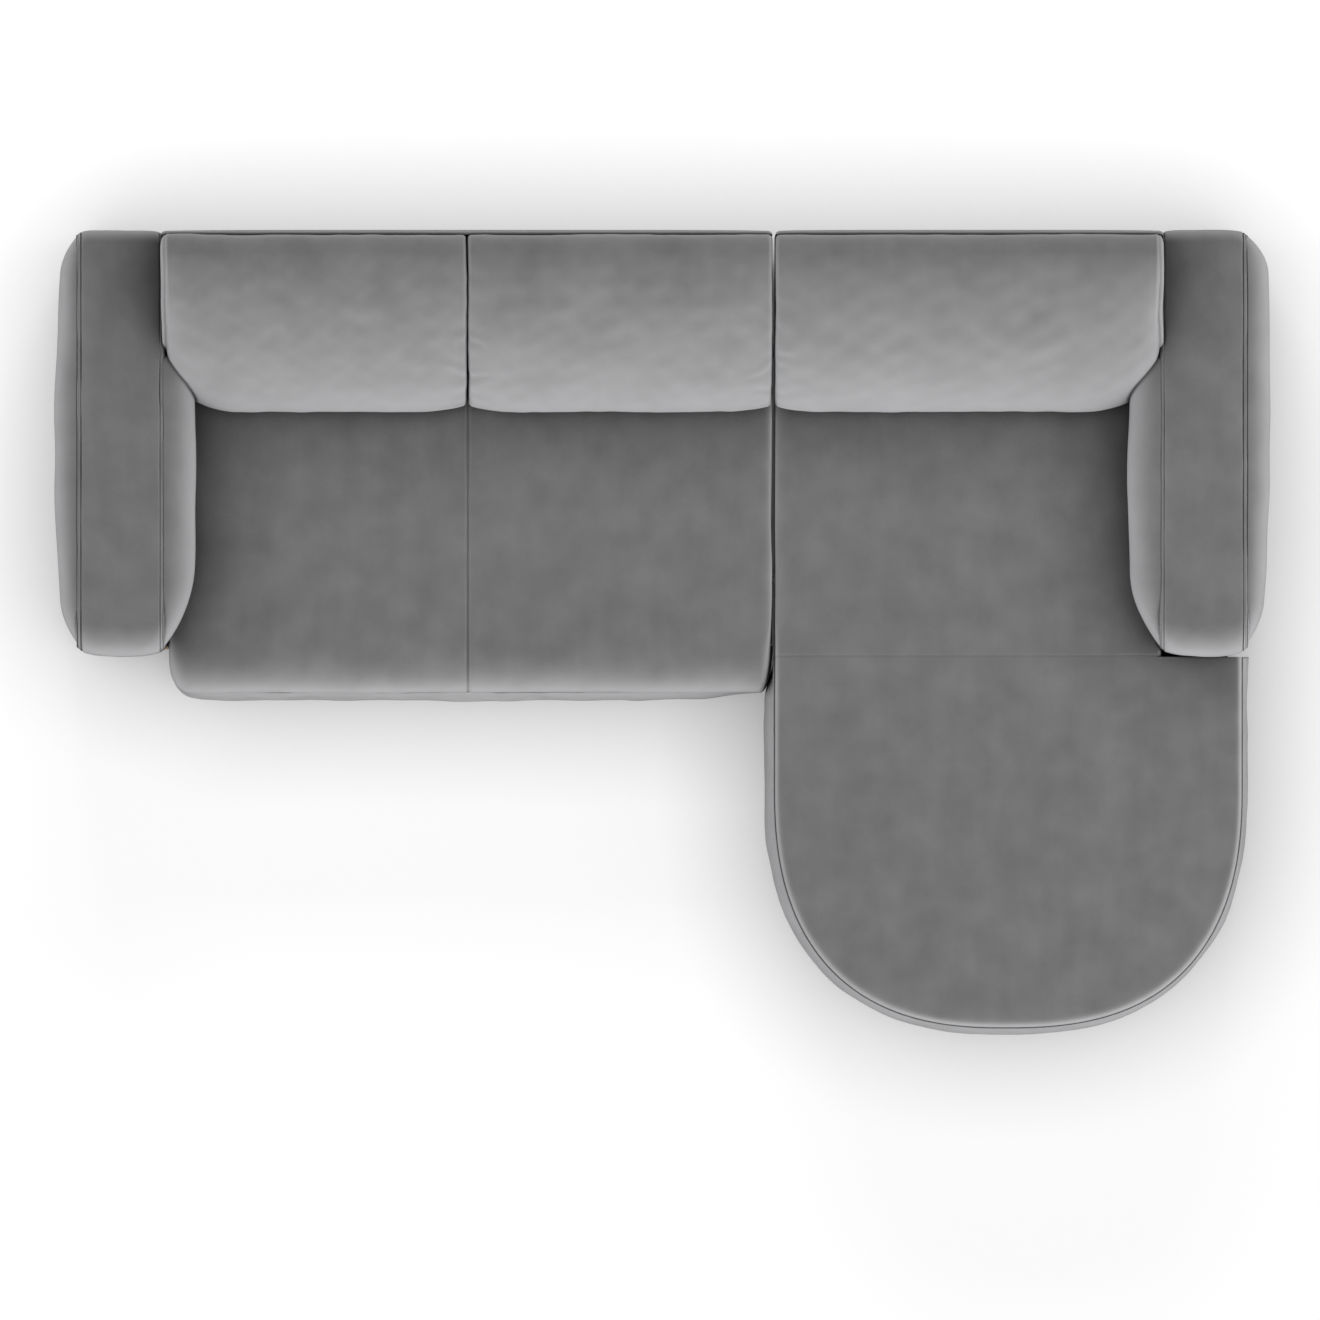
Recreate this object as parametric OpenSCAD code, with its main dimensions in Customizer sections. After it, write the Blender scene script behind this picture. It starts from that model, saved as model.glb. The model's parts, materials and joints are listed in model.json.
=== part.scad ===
// Corner sofa in two modules: a two-seater with the left arm, and a chaise with the right arm.
// +X is to the right, +Y to the rear, +Z up. The origin is on the floor under the middle.

/* [Overall] */
// Width over both arms
sofa_w = 2850; // [2700:5:3000]
// Depth of the chaise, from its front to the rear panel
chaise_d = 1885; // [1780:5:2000]
// Depth of the two-seater, from its front to the rear panel
seat_d = 1100; // [1060:5:1160]
// Height of the backs
back_h = 790; // [760:5:840]
// Height of the seat
seat_h = 430; // [415:5:450]
// Height of the arms
arm_h = 600; // [585:5:640]

/* [Units] */
// Width of one of the two seats
unit_w = 716; // [690:1:740]
// Open gap between the two modules
split_gap = 7; // [4:0.5:12]
// Depth of the back cushions at the seat, rear panel included
back_d = 425; // [410:5:440]
// Distance of a back cushion's crest from the rear
crest_in = 57; // [45:1:75]
// Fall of the crest from its top to the seam of the rear panel
crest_drop = 18; // [12:1:26]
// Height of the fullest line of a back cushion above the seat
belly_h = 55; // [40:1:80]
// Draw-in of a back cushion's front at the seat
back_tuck = 13; // [6:1:20]
// Power of a back cushion's front curve: 2 is an ellipse, less is straighter
back_power = 1.6; // [1.4:0.1:2.2]
// Length and depth of the rounded outer end of a back cushion
back_end = [175, 110]; // [60:1:220]
// Length, depth and drop of a back cushion's draw-in at a joint between cushions
back_pinch = [117, 16, 9]; // [4:1:140]
// Thickness of the padded rear panels
rear_panel_t = 13; // [8:1:18]
// Crown of the rear panels
rear_crown = 5; // [2:1:7]
// Share of a rounded end that holds no foam
cheek_share = 0.6; // [0.5:0.05:0.8]

/* [Arms] */
// Length of an arm from its crowned front to the rear
arm_l = 998; // [960:2:1030]
// Width of the band between the seams of an arm
arm_band_w = 193; // [170:1:215]
// Bulge of the outer side pad of an arm
arm_out = 61; // [45:1:75]
// Bulge of the inner side pad of an arm
arm_in = 81; // [60:1:90]
// Crown of the band at the front of an arm
arm_front_crown = 18; // [8:1:24]
// Crown of the band on top of an arm
arm_top_crown = 7; // [3:1:12]
// Corner radius of an arm at its front and at its rear
arm_round = [75, 24]; // [15:1:90]
// Thickness of the padded cover round an arm
arm_pad_t = 22; // [14:1:28]
// Rear end of the inner pad ahead of the back cushion's side
arm_pad_end = 62; // [58:1:90]
// Depth of the rounded edges of an outer pad
arm_out_edge = 70; // [50:1:85]
// Depth of the rounded edges of an inner pad at its rear and its front
arm_in_edge = [120, 110]; // [80:5:140]
// Share of its bulge that a pad loses towards its ends, outer and inner
arm_slim = [0.36, 0.2]; // [0:0.02:0.5]

/* [Seats] */
// Thickness of the padding on top of the seat foam
seat_pad_t = 35; // [25:1:45]
// Thickness of the padded borders behind their bulge
border_t = 18; // [12:1:22]
// Height of the two-seater's rounded front edge, from the seat down to its seam
seat_seam_drop = 85; // [70:5:110]
// Depth of the seat's rounded front edge
seat_roll = 120; // [80:5:150]
// Bulge of the two-seater's front border
seat_bulge = 18; // [8:1:24]
// Front corner radius of the two-seater at its left and at its right
seat_corner = [82, 110]; // [60:1:130]
// Fall of the two-seater's top at its rounded ends
seat_corner_drop = 12; // [6:1:16]
// Half width and depth of the dip at the seam between the two seats
seat_dip = [40, 3]; // [1:1:60]
// Gap between an arm's seam plane and the side of the seat
seat_side_gap = 12; // [6:1:20]
// Fall from the seat to the chaise's piped seam
chaise_seam_drop = 40; // [36:1:55]
// Bulge of the chaise's border
chaise_bulge = 25; // [12:1:30]
// Length of the rounded front of the chaise
chaise_curve = 562; // [450:2:620]
// Power of the chaise's rounded front
chaise_power = 2.5; // [2:0.1:3.2]
// Distance of the chaise's right welt inside the arm's outer seam
chaise_right_in = 14; // [4:1:40]
// Radius of the piping
welt_r = 4.5; // [3:0.5:6]
// Width and fall of the rounded sides of the chaise's rear cover
chaise_edge = [60, 18]; // [10:1:80]
// Width and fall of its turn into the cross seam
cross_turn = [12, 3]; // [2:1:16]

/* [Frame] */
// Height of the feet
foot_h = 45; // [35:1:60]
// Top and bottom diameter of a foot
foot_d = [60, 46]; // [36:1:64]
// Thickness of the dust cover
dust_t = 2; // [1:0.5:3]
// Inset of the dust cover under an arm
dust_edge = 4; // [2:0.5:10]
// Thickness of the timber rails
rail_t = 28; // [22:1:32]
// Height of the timber rails
rail_h = 183; // [165:1:195]
// Thickness of the plywood ribs and arm panels
ply_t = 15; // [12:1:21]
// Fall of the middle rails under the springs
rail_drop = 40; // [25:1:50]
// Height of the two rails that carry the back webbing
rake_rail_h = 45; // [35:1:55]
// Height of an arm's lower rails
arm_rail_h = 60; // [45:1:80]
// Size and thickness of the corner blocks
block_s = [84, 24]; // [20:1:90]
// Thickness of the felt over the springs
felt_t = 6; // [4:1:10]
// Thickness of the spring wire
wire_t = 4; // [3:0.5:5]
// Width of a sinuous spring
spring_w = 46; // [38:1:52]
// Pitch of a spring's bars
spring_pitch = 40; // [32:1:50]
// Width of a spring clip
clip_w = 22; // [16:1:28]
// Thickness of a spring clip
clip_t = 2; // [1:0.5:3]
// Depth of the spring rail's front behind the front of the back cushions
spring_rail_in = 83; // [70:1:100]
// Setback of the rake of the backs from the spring rail
rake_in = 40; // [30:1:60]
// Top of the back frame under the crest
frame_drop = 45; // [40:1:60]
// Top of the back frame's rake ahead of the crest
rake_top_in = 26; // [20:1:35]
// Width and thickness of the webbing
strap = [60, 2]; // [1:0.5:70]

/* [Fasteners] */
// Diameter of the foot studs and the arm bolts
bolt_d = 8; // [6:0.5:10]
// Setback of the arm bolts from the arm's front, from its rear and from the rails' edges
arm_bolt_in = [150, 220, 50]; // [40:5:260]
// Diameter of the bracket screws
screw_d = 4; // [3:0.5:5]
// Length of the bracket screws
screw_l = 22; // [16:1:25]
// Width, height and thickness of the connector plates
plate = [64, 92, 2.5]; // [2:0.5:110]
// Setback of the screws from the edges of a plate
plate_screw_in = [6, 9]; // [5:1:14]
// Width of the connector's tongue and its depth in the pocket
tongue = [36, 38]; // [25:1:45]
// Thickness of the pocket's sides
pocket_wall = 4; // [3:0.5:6]
// Height of the pocket's mouth above the bottom of its plate
pocket_rise = 66; // [56:1:76]
// Setback of the connectors from the seat's front and behind the spring rail
connector_in = [260, 60]; // [40:5:300]
// Height of the connectors above the bottom of the rails
connector_rise = 10; // [6:1:16]
// Height of the windows in the side pads that clear the connectors
window_h = 169; // [165:1:190]
// Room round a connector in its window
window_gap = 6; // [4:0.5:10]
// Clearance between pieces that lie against each other
fit = 0.3; // [0.2:0.05:0.5]

/* [Hidden] */
$fn = 40;

// Places across the width
half_w = sofa_w / 2;
arm_out_x = half_w - arm_out;
arm_in_x = arm_out_x - arm_band_w;
joint_x = unit_w - arm_in_x;
split_x = 2 * unit_w - arm_in_x;
seat_right_x = split_x - split_gap / 2;
seat_left_x = seat_side_gap - arm_in_x;
chaise_left_x = split_x + split_gap / 2;
chaise_right_x = arm_out_x - chaise_right_in;
chaise_half = (chaise_right_x - chaise_left_x) / 2;
chaise_mid_x = (chaise_right_x + chaise_left_x) / 2;

// Places along the depth
rear_y = chaise_d / 2;
cover_rear_y = rear_y - rear_panel_t;
back_y = rear_y - back_d;
crest_y = rear_y - crest_in;
spring_y = back_y + spring_rail_in;
seat_y = rear_y - seat_d + seat_bulge;
arm_y = rear_y - arm_l + arm_front_crown;
cross_y = arm_y - arm_front_crown - fit;
chaise_y = chaise_bulge - rear_y;
curve_y = chaise_y + chaise_curve;

// Springs end near the front of their rail, and the ribs of the backs stand behind their clips
spring_end = 2 * wire_t;
rib_y = spring_y + spring_end + wire_t + 2 * clip_t + fit;

// Heights
base_z = foot_h + dust_t;
deck_z = base_z + rail_h;
felt_z = deck_z + wire_t + clip_t + fit;
foam_z = felt_z + felt_t + fit;
foam_top = seat_h - seat_pad_t;
seat_seam_z = seat_h - seat_seam_drop;
chaise_seam_z = seat_h - chaise_seam_drop;
belly_z = seat_h + belly_h;
frame_top = back_h - frame_drop;
rear_seam_z = back_h - crest_drop;

// Colours
VELVET = "#8d8c8e";
TIMBER = "#d8b98a";
PLYWOOD = "#cfae7c";
FOAM = "#ece3c4";
STEEL = "#a9adb1";
DARK = "#2c2c2e";

// Points on an elliptical arc
function arc(c, r, a0, a1, n) = [for (i = [0:n]) let (a = a0 + (a1 - a0) * i / n)
    [c[0] + r[0] * cos(a), c[1] + r[1] * sin(a)]];
// The same for an arc that is fuller or straighter than an ellipse
function bow(c, r, a0, a1, n, power) = [for (p = arc([0, 0], [1, 1], a0, a1, n))
    [for (k = [0:1]) c[k] + r[k] * sign(p[k]) * pow(abs(p[k]), 2 / power)]];
function average(p) = [for (k = [0:len(p[0]) - 1]) [for (q = p) 1] * [for (q = p) q[k]] / len(p)];
// Setback of a rounded end, where t runs from 0 at the end to 1 where the rounding stops
function quarter(t) = 1 - sqrt(1 - pow(1 - min(1, max(0, t)), 2));
function smooth(t) = let (u = min(1, max(0, t))) u * u * (3 - 2 * u);
function crown(t, power) = sqrt(max(0, 1 - pow(abs(t), power)));

// A closed skin over rings of equal length, with a fan over each end
module loft(rings) {
    n = len(rings[0]);
    m = len(rings);
    side = [for (i = [0:m - 2]) for (j = [0:n - 1]) let (k = (j + 1) % n)
        each [[i * n + j, (i + 1) * n + j, (i + 1) * n + k], [i * n + j, (i + 1) * n + k, i * n + k]]];
    first = [for (j = [0:n - 1]) [m * n, j, (j + 1) % n]];
    last = [for (j = [0:n - 1]) [m * n + 1, (m - 1) * n + (j + 1) % n, (m - 1) * n + j]];
    polyhedron([each [for (r = rings) each r], average(rings[0]), average(rings[m - 1])],
        concat(side, first, last));
}

// A section in Y and Z at the place x
function at_x(x, section) = [for (p = section) [x, p[0], p[1]]];
function reversed(p) = [for (i = [len(p) - 1:-1:0]) p[i]];

// A prism with a section in Y and Z, from x0 to x1
module along_x(x0, x1, section) translate([x0, 0, 0]) rotate([90, 0, 90])
    linear_extrude(x1 - x0) polygon(section);
module upright(z0, z1, outline) translate([0, 0, z0]) linear_extrude(z1 - z0) polygon(outline);
module block(low, high) translate(low) cube(high - low);

// Outward normals along an open path that runs anticlockwise round the seat
function normal(p, i) = let (
    a = p[max(0, i - 1)],
    b = p[min(len(p) - 1, i + 1)],
    d = [b[0] - a[0], b[1] - a[1]]) [d[1], -d[0]] / norm(d);
function outset(p, d) = [for (i = [0:len(p) - 1]) [p[i][0], p[i][1]] + d * normal(p, i)];

// A section of offset and height swept along a path; the path's third value scales the bulge
module sweep(path, inner, bulge_z, bulge) {
    loft([for (i = [0:len(path) - 1]) let (n = normal(path, i)) [
        for (s = concat(inner, [for (b = bulge_z) [bulge * path[i][2] * b[1], b[0]]]))
            [path[i][0] + n[0] * s[0], path[i][1] + n[1] * s[0], s[1]]]]);
}
// Bulge of a border from its top to its bottom
function border_curve(z0, z1, n) = [for (i = [0:n]) let (t = i / n)
    [z1 + (z0 - z1) * t, crown(2 * t - 1, 2.6)]];
module border(path, z0, z1, thick, bulge) sweep(path, [[-thick, z0], [-thick, z1]],
    border_curve(z0, z1, 8), bulge);

// Outline of the two-seater's front half, from its left side round to its right side
border_end_y = seat_y + seat_corner[1] + border_t / 4;
seat_path = concat(
    [[seat_left_x, cross_y, 0.6]],
    [for (p = arc([seat_left_x + seat_corner[0], seat_y + seat_corner[0]],
        [seat_corner[0], seat_corner[0]], 180, 270, 7)) [p[0], p[1], 1]],
    [for (i = [1:5]) let (x = seat_left_x + seat_corner[0]
        + (seat_right_x - seat_corner[1] - seat_left_x - seat_corner[0]) * i / 6) [x, seat_y, 1]],
    [for (i = [0:7]) let (p = arc([seat_right_x - seat_corner[1], seat_y + seat_corner[1]],
        [seat_corner[1], seat_corner[1]], 270, 360, 7)[i]) [p[0], p[1], 1 - smooth(i / 5)]],
    [[seat_right_x, border_end_y, 0]]);
seat_inner = concat(outset(seat_path, -border_t - fit), [
    [seat_right_x - border_t - fit, spring_y - fit], [seat_left_x + border_t + fit, spring_y - fit]]);

// Outline of the chaise's front at its welt, from the left end round to the right end
function chaise_bow(i, n) = let (a = 180 + 180 * i / n) [
    chaise_mid_x + chaise_half * sign(cos(a)) * pow(abs(cos(a)), 2 / chaise_power),
    curve_y - chaise_curve * pow(abs(sin(a)), 2 / chaise_power), 1];
chaise_path = concat(
    [for (i = [0:5]) [chaise_left_x, cross_y + (curve_y - cross_y) * i / 6, smooth(i / 3)]],
    [for (i = [0:24]) chaise_bow(i, 24)],
    [for (i = [1:5]) [chaise_right_x, curve_y + (cross_y - curve_y) * i / 5, 1]]);

// Sections of a back cushion, with its front set back, its crest lowered and its sides drawn in
function back_section(set, drop, inset) = concat(
    [[cover_rear_y - inset, seat_h + fit]],
    arc([crest_y, rear_seam_z - drop - inset], [cover_rear_y - crest_y - inset, crest_drop], 0, 75, 3),
    bow([crest_y, belly_z], [crest_y - back_y - set - inset, back_h - belly_z - drop - inset],
        90, 180, 12, back_power),
    [[back_y + set + inset + back_tuck, seat_h + fit]]);
// Draw-in of a cushion's outline at its end and one step from it, at an arm and at a joint
seam_step = 2;
outer_seam = [20, 9];
inner_seam = [14, 5];
function end_ring(x, dir, t, end) = at_x(x + dir * end[0] * t,
    back_section(end[1] * quarter(t), end[2] * quarter(t), 0));
function outer_end(x, dir) = let (end = [back_end[0], back_end[1], back_pinch[2]]) [
    at_x(x, back_section(end[1], end[2], outer_seam[0])),
    at_x(x + dir * seam_step, back_section(end[1], end[2], outer_seam[1])),
    for (t = [0.05, 0.13, 0.25, 0.4, 0.6, 0.8, 1]) end_ring(x, dir, t, end)];
function inner_end(x, dir) = [
    at_x(x, back_section(back_pinch[1], back_pinch[2], inner_seam[0])),
    at_x(x + dir * seam_step, back_section(back_pinch[1], back_pinch[2], inner_seam[1])),
    for (t = [0.07, 0.25, 0.55, 1]) end_ring(x, dir, t, back_pinch)];

// The space inside a back cover, less a clearance
function back_core(t) = concat(
    arc([crest_y, rear_seam_z - t], [cover_rear_y - crest_y - fit, crest_drop], 0, 75, 3),
    bow([crest_y, belly_z], [crest_y - back_y - t, back_h - belly_z - t], 90, 180, 12, back_power));
function rake_y(z) = spring_y + rake_in
    + (z - seat_h) * (crest_y - rake_top_in - spring_y - rake_in) / (frame_top - seat_h);

module back_cover(x0, x1, left_outer, right_outer) color(VELVET) difference() {
    loft(concat(
        left_outer ? outer_end(x0, 1) : inner_end(x0, 1),
        reversed(right_outer ? outer_end(x1, -1) : inner_end(x1, -1))));
    along_x(x0 + cheek(left_outer), x1 - cheek(right_outer), concat(
        [[cover_rear_y + 1, seat_h - 1], [cover_rear_y + 1, rear_seam_z - arm_pad_t]],
        back_core(arm_pad_t),
        [[back_y + arm_pad_t + back_tuck, seat_h + fit], [back_y + arm_pad_t + back_tuck, seat_h - 1]]));
}
// Depth from a cushion's end to its foam
function cheek(outer) = outer ? back_end[0] * cheek_share : arm_pad_t;
module back_foam(x0, x1, left_outer, right_outer) color(FOAM)
    along_x(x0 + cheek(left_outer) + fit, x1 - cheek(right_outer) - fit, concat(
        [[cover_rear_y - fit, frame_top + fit]],
        back_core(arm_pad_t + fit),
        [[back_y + arm_pad_t + back_tuck + fit, seat_h + 2 * fit],
         [rake_y(seat_h) - strap[1] - fit, seat_h + 2 * fit],
         [rake_y(frame_top) - strap[1] - fit, frame_top + fit]]));
rib_section = [[rib_y, deck_z], [cover_rear_y - fit, deck_z], [cover_rear_y - fit, frame_top],
    [rake_y(frame_top), frame_top], [rake_y(seat_h), seat_h], [rib_y, seat_h]];
function rake_rail(z0, z1) = [[rake_y(z0), z0], [rake_y(z0) + rail_t, z0],
    [rake_y(z1) + rail_t, z1], [rake_y(z1), z1]];
function rib_in(outer) = cheek(outer) + fit;
module back_frame(x0, x1, left_outer, right_outer) color(PLYWOOD) {
    a = x0 + rib_in(left_outer);
    b = x1 - rib_in(right_outer);
    along_x(a, a + ply_t, rib_section);
    along_x(b - ply_t, b, rib_section);
    along_x(a, b, rake_rail(frame_top - rake_rail_h, frame_top));
    along_x(a, b, rake_rail(seat_h, seat_h + rake_rail_h));
}
module back_webbing(x0, x1) color(DARK) for (i = [1:3]) let (x = x0 + (x1 - x0) * i / 4)
    along_x(x - strap[0] / 2, x + strap[0] / 2, [
        [rake_y(seat_h), seat_h + 2 * fit], [rake_y(frame_top), frame_top],
        [rake_y(frame_top) - strap[1], frame_top], [rake_y(seat_h) - strap[1], seat_h + 2 * fit]]);

// A padded rear panel with a crown across its width
module rear_panel(x0, x1) color(VELVET) upright(base_z, rear_seam_z - crest_drop - fit, concat(
    [[x0, cover_rear_y + fit], [x1, cover_rear_y + fit]],
    [for (i = [0:8]) let (t = 1 - i / 4) [(x0 + x1) / 2 + t * (x1 - x0) / 2,
        rear_y - rear_crown + rear_crown * crown(t, 3)]]));

// Side outline of an arm, with its front and top moved out by a crown, drawn in by an inset
function arm_outline(front, top, inset) = concat(
    [[rear_y - inset, base_z]],
    arc([rear_y - arm_round[1], arm_h + top - arm_round[1]],
        [arm_round[1] - inset, arm_round[1] - inset], 0, 90, 4),
    arc([arm_y - front + arm_round[0], arm_h + top - arm_round[0]],
        [arm_round[0] - inset, arm_round[0] - inset], 90, 180, 8),
    [[arm_y - front + inset, base_z]]);
arm_top_z = arm_h - arm_top_crown;
function arm_edge(inset) = arm_outline(0, -arm_top_crown, inset);

module arm_band() color(VELVET) difference() {
    loft([for (t = [-1, -0.97, -0.8, -0.4, 0.4, 0.8, 0.97, 1]) let (c = crown(t, 2.4))
        at_x(-arm_in_x - arm_band_w / 2 + t * arm_band_w / 2,
            arm_outline(arm_front_crown * c, arm_top_crown * (c - 1), 0))]);
    along_x(-arm_out_x - 1, 1 - arm_in_x, concat(arm_edge(arm_pad_t),
        [[arm_y + arm_pad_t, base_z - 1], [rear_y - arm_pad_t, base_z - 1]]));
}
// Outline of a side pad at the share q of its rounded edge, from its rear top corner over its front.
// The edges are the depths at its rear, top, front and bottom; the third value is 1 at the front
function pad_corner(low, high, edge, power, k, q) = let (
    rear = k == 0 || k == 3,
    top = k < 2,
    r = [rear ? edge[0] : edge[2], top ? edge[1] : edge[3]],
    c = [rear ? high[0] - r[0] : low[0] + r[0], top ? high[1] - r[1] : low[1] + r[1]]) [
    for (p = bow([0, 0], [1, 1], 90 * k, 90 * k + 90, 5, power[k]))
        [c[0] + q * r[0] * p[0], c[1] + q * r[1] * p[1], p[0] < 0 ? p[0] * p[0] : 0]];
function pad_outline(low, high, edge, power, q) = [for (k = [0:3])
    let (a = pad_corner(low, high, edge, power, k, q), b = pad_corner(low, high, edge, power, (k + 1) % 4, q),
        n = k % 2 == 0 ? 4 : 2)
    each concat(a, [for (j = [1:n - 1]) a[5] + (b[0] - a[5]) * j / n])];
// A side pad on a flat base at x: full at the depth full_y, and slimmer towards its ends
module pad(x, rise, low, high, edge, power, full_y, slim) {
    steps = [1, 0.985, 0.92, 0.8, 0.6, 0.35, 0];
    core = pad_outline(low, high, edge, power, 0);
    mid = average(core);
    function lift(p, q) = let (
        end = p[0] < full_y ? low[0] : high[0],
        away = max(0, abs((p[0] - full_y) / (end - full_y)) - 0.15) / 0.85)
        (1 - slim * away * away) * (p[2] * (1 - pow(q, 1.3)) + (1 - p[2]) * sqrt(1 - q * q));
    loft(concat(
        [for (q = steps) [for (p = pad_outline(low, high, edge, power, q))
            [x + rise * lift(p, q), p[0], p[1]]]],
        [for (s = [0.65, 0.35, 0.12]) [for (c = core) let (p = mid + s * (c - mid))
            [x + rise * lift(p, 0), p[0], p[1]]]]));
}
module arm_outer_pad() color(VELVET) mirror([1, 0, 0])
    pad(arm_out_x + fit, arm_out - fit, [arm_y, base_z], [rear_y - dust_t, arm_top_z],
        [arm_out_edge, arm_out_edge, arm_round[0], arm_out_edge], [6.5, 2, 8, 8],
        (arm_y + rear_y) / 2, arm_slim[0]);
module arm_inner_pad() color(VELVET) {
    z0 = seat_h + 2 * fit;
    side = (arm_top_z - z0) / 2 - 1;
    pad(fit - arm_in_x, arm_in - fit, [arm_y, z0], [back_y + arm_pad_end, arm_top_z],
        [arm_in_edge[0], side, arm_in_edge[1], side], [2.5, 2.5, 2.5, 2.5],
        back_y - arm_in_edge[1], arm_slim[1]);
}
module arm_panel(x) difference() {
    along_x(x, x + ply_t, arm_edge(arm_pad_t + fit));
    arm_bolt_holes();
}
// Places of the four bolts that hold an arm to its side rail
arm_bolt_at = [for (y = [arm_y + arm_bolt_in[0], rear_y - arm_bolt_in[1]])
    for (z = [base_z + arm_bolt_in[2], deck_z - arm_bolt_in[2]]) [y, z]];
bolt_head_t = 0.6 * bolt_d;
bolt_nut_t = 0.8 * bolt_d;
hole_d = bolt_d + 0.8;
module arm_bolt_holes() for (p = arm_bolt_at)
    translate([-arm_in_x - 2 * ply_t, p[0], p[1]]) rotate([0, 90, 0])
        cylinder(h = 3 * ply_t + seat_side_gap + border_t + 2 * rail_t, d = hole_d);
module arm_frame() color(PLYWOOD) {
    inner = [arm_y + arm_pad_t + fit, rear_y - arm_pad_t - fit];
    x0 = fit - arm_out_x;
    x1 = -arm_in_x - fit;
    arm_panel(x0);
    arm_panel(x1 - ply_t);
    for (y = [inner[0], (inner[0] + inner[1]) / 2, inner[1] - rail_t])
        block([x0, y, base_z], [x1, y + rail_t, base_z + arm_rail_h]);
    for (y = [inner[0] + arm_round[0], inner[1] - 3 * rail_t])
        block([x0, y, arm_top_z - arm_pad_t - rail_t], [x1, y + 2 * rail_t, arm_top_z - arm_pad_t - fit]);
}
module arm_bolts(grip) color(STEEL) for (p = arm_bolt_at)
    translate([-arm_in_x - ply_t - fit, p[0], p[1]]) rotate([0, 90, 0]) {
        translate([0, 0, -1.5 * bolt_nut_t])
            cylinder(h = 1.5 * bolt_nut_t + ply_t + fit + grip, d = bolt_d);
        translate([0, 0, ply_t + fit + grip]) cylinder(h = bolt_head_t, d = 2 * bolt_d);
        translate([0, 0, -bolt_nut_t]) difference() {
            cylinder(h = bolt_nut_t, d = 2 * bolt_d);
            translate([0, 0, -1]) cylinder(h = bolt_nut_t + 2, d = bolt_d + 0.2);
        }
    }

// Sections of the two-seater's cover
function seat_section(set, drop) = concat(
    [[spring_y - fit, seat_seam_z + fit], [spring_y - fit, seat_h - drop]],
    arc([seat_y + set + seat_roll, seat_seam_z + fit], [seat_roll, seat_h - drop - seat_seam_z - fit],
        90, 180, 8));
function corner_ring(x, dir, t, r) =
    at_x(x + dir * r * t, seat_section(r * quarter(t), seat_corner_drop * quarter(t)));
module seat_cover() color(VELVET) difference() {
    loft(concat(
        [for (t = [0.02, 0.08, 0.2, 0.4, 0.7, 1]) corner_ring(seat_left_x, 1, t, seat_corner[0])],
        [at_x(joint_x - seat_dip[0], seat_section(0, 0)), at_x(joint_x, seat_section(1, seat_dip[1])),
         at_x(joint_x + seat_dip[0], seat_section(0, 0))],
        [for (t = [1, 0.7, 0.4, 0.2, 0.08, 0.02]) corner_ring(seat_right_x, -1, t, seat_corner[1])]));
    upright(seat_seam_z - 1, foam_top, seat_foam_outline(0));
}
// The foam keeps inside the rolled front edge and the cheeks of the cover
function seat_foam_outline(gap) = let (
    x0 = seat_left_x + border_t + gap,
    x1 = seat_right_x - border_t - gap,
    y0 = seat_y + seat_roll / 2 + gap) [
    [x0, spring_y + (gap > 0 ? -fit : 1)], [x0, y0 + seat_corner[0]], [x0 + seat_corner[0], y0],
    [x1 - seat_corner[1], y0], [x1, y0 + seat_corner[1]], [x1, spring_y + (gap > 0 ? -fit : 1)]];
module seat_foam() color(FOAM) {
    upright(foam_z, seat_seam_z, seat_inner);
    upright(seat_seam_z, foam_top - fit, seat_foam_outline(fit));
}
module seat_front_border() color(VELVET)
    border(seat_path, base_z, seat_seam_z - fit, border_t, seat_bulge);
// Windows for the connectors in the side pads
connector_y = [seat_y + connector_in[0], spring_y + connector_in[1]];
connector_z = base_z + connector_rise;
module connector_windows(x0, x1) for (y = connector_y) {
    half = plate[0] / 2 + window_gap;
    block([x0 - 1, y - half, connector_z - window_gap / 2],
        [x1 + 1, y + half, connector_z - window_gap / 2 + window_h]);
}
module side_pad(x0, x1, y0, z1) color(DARK) difference() {
    block([x0, y0, base_z], [x1, cover_rear_y, z1]);
    connector_windows(x0, x1);
}
seat_rail_x = seat_right_x - border_t - fit;
chaise_rail_x = chaise_left_x + border_t + fit;
module seat_side_pad() side_pad(seat_rail_x + fit, seat_right_x, border_end_y + fit,
    seat_seam_z - fit);
module chaise_side_pad() side_pad(chaise_left_x, chaise_rail_x - fit, cross_y + fit,
    chaise_seam_z - fit);

// Timber frame of the two-seater
module seat_bound() upright(base_z - 1, deck_z + 1, seat_inner);
seat_inner_y = seat_y + border_t + fit;
module seat_front_rail() color(TIMBER) intersection() {
    block([seat_left_x, seat_inner_y, base_z], [seat_right_x, seat_inner_y + rail_t, deck_z]);
    seat_bound();
}
module seat_rear_rail() color(TIMBER)
    block([fit - arm_in_x, cover_rear_y - fit - rail_t, base_z], [seat_rail_x, cover_rear_y - fit, deck_z]);
module seat_cross_rails() color(TIMBER) {
    block([seat_left_rail_x, spring_y, base_z], [seat_rail_x - rail_t, spring_y + rail_t, deck_z]);
    for (side = [-1, 1])
        block([joint_x - rail_t / 2, side > 0 ? spring_y + rail_t : seat_inner_y + rail_t, base_z],
            [joint_x + rail_t / 2, side > 0 ? cover_rear_y - fit - rail_t : spring_y, deck_z - rail_drop]);
}
seat_left_rail_x = seat_left_x + border_t + fit + rail_t;
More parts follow.
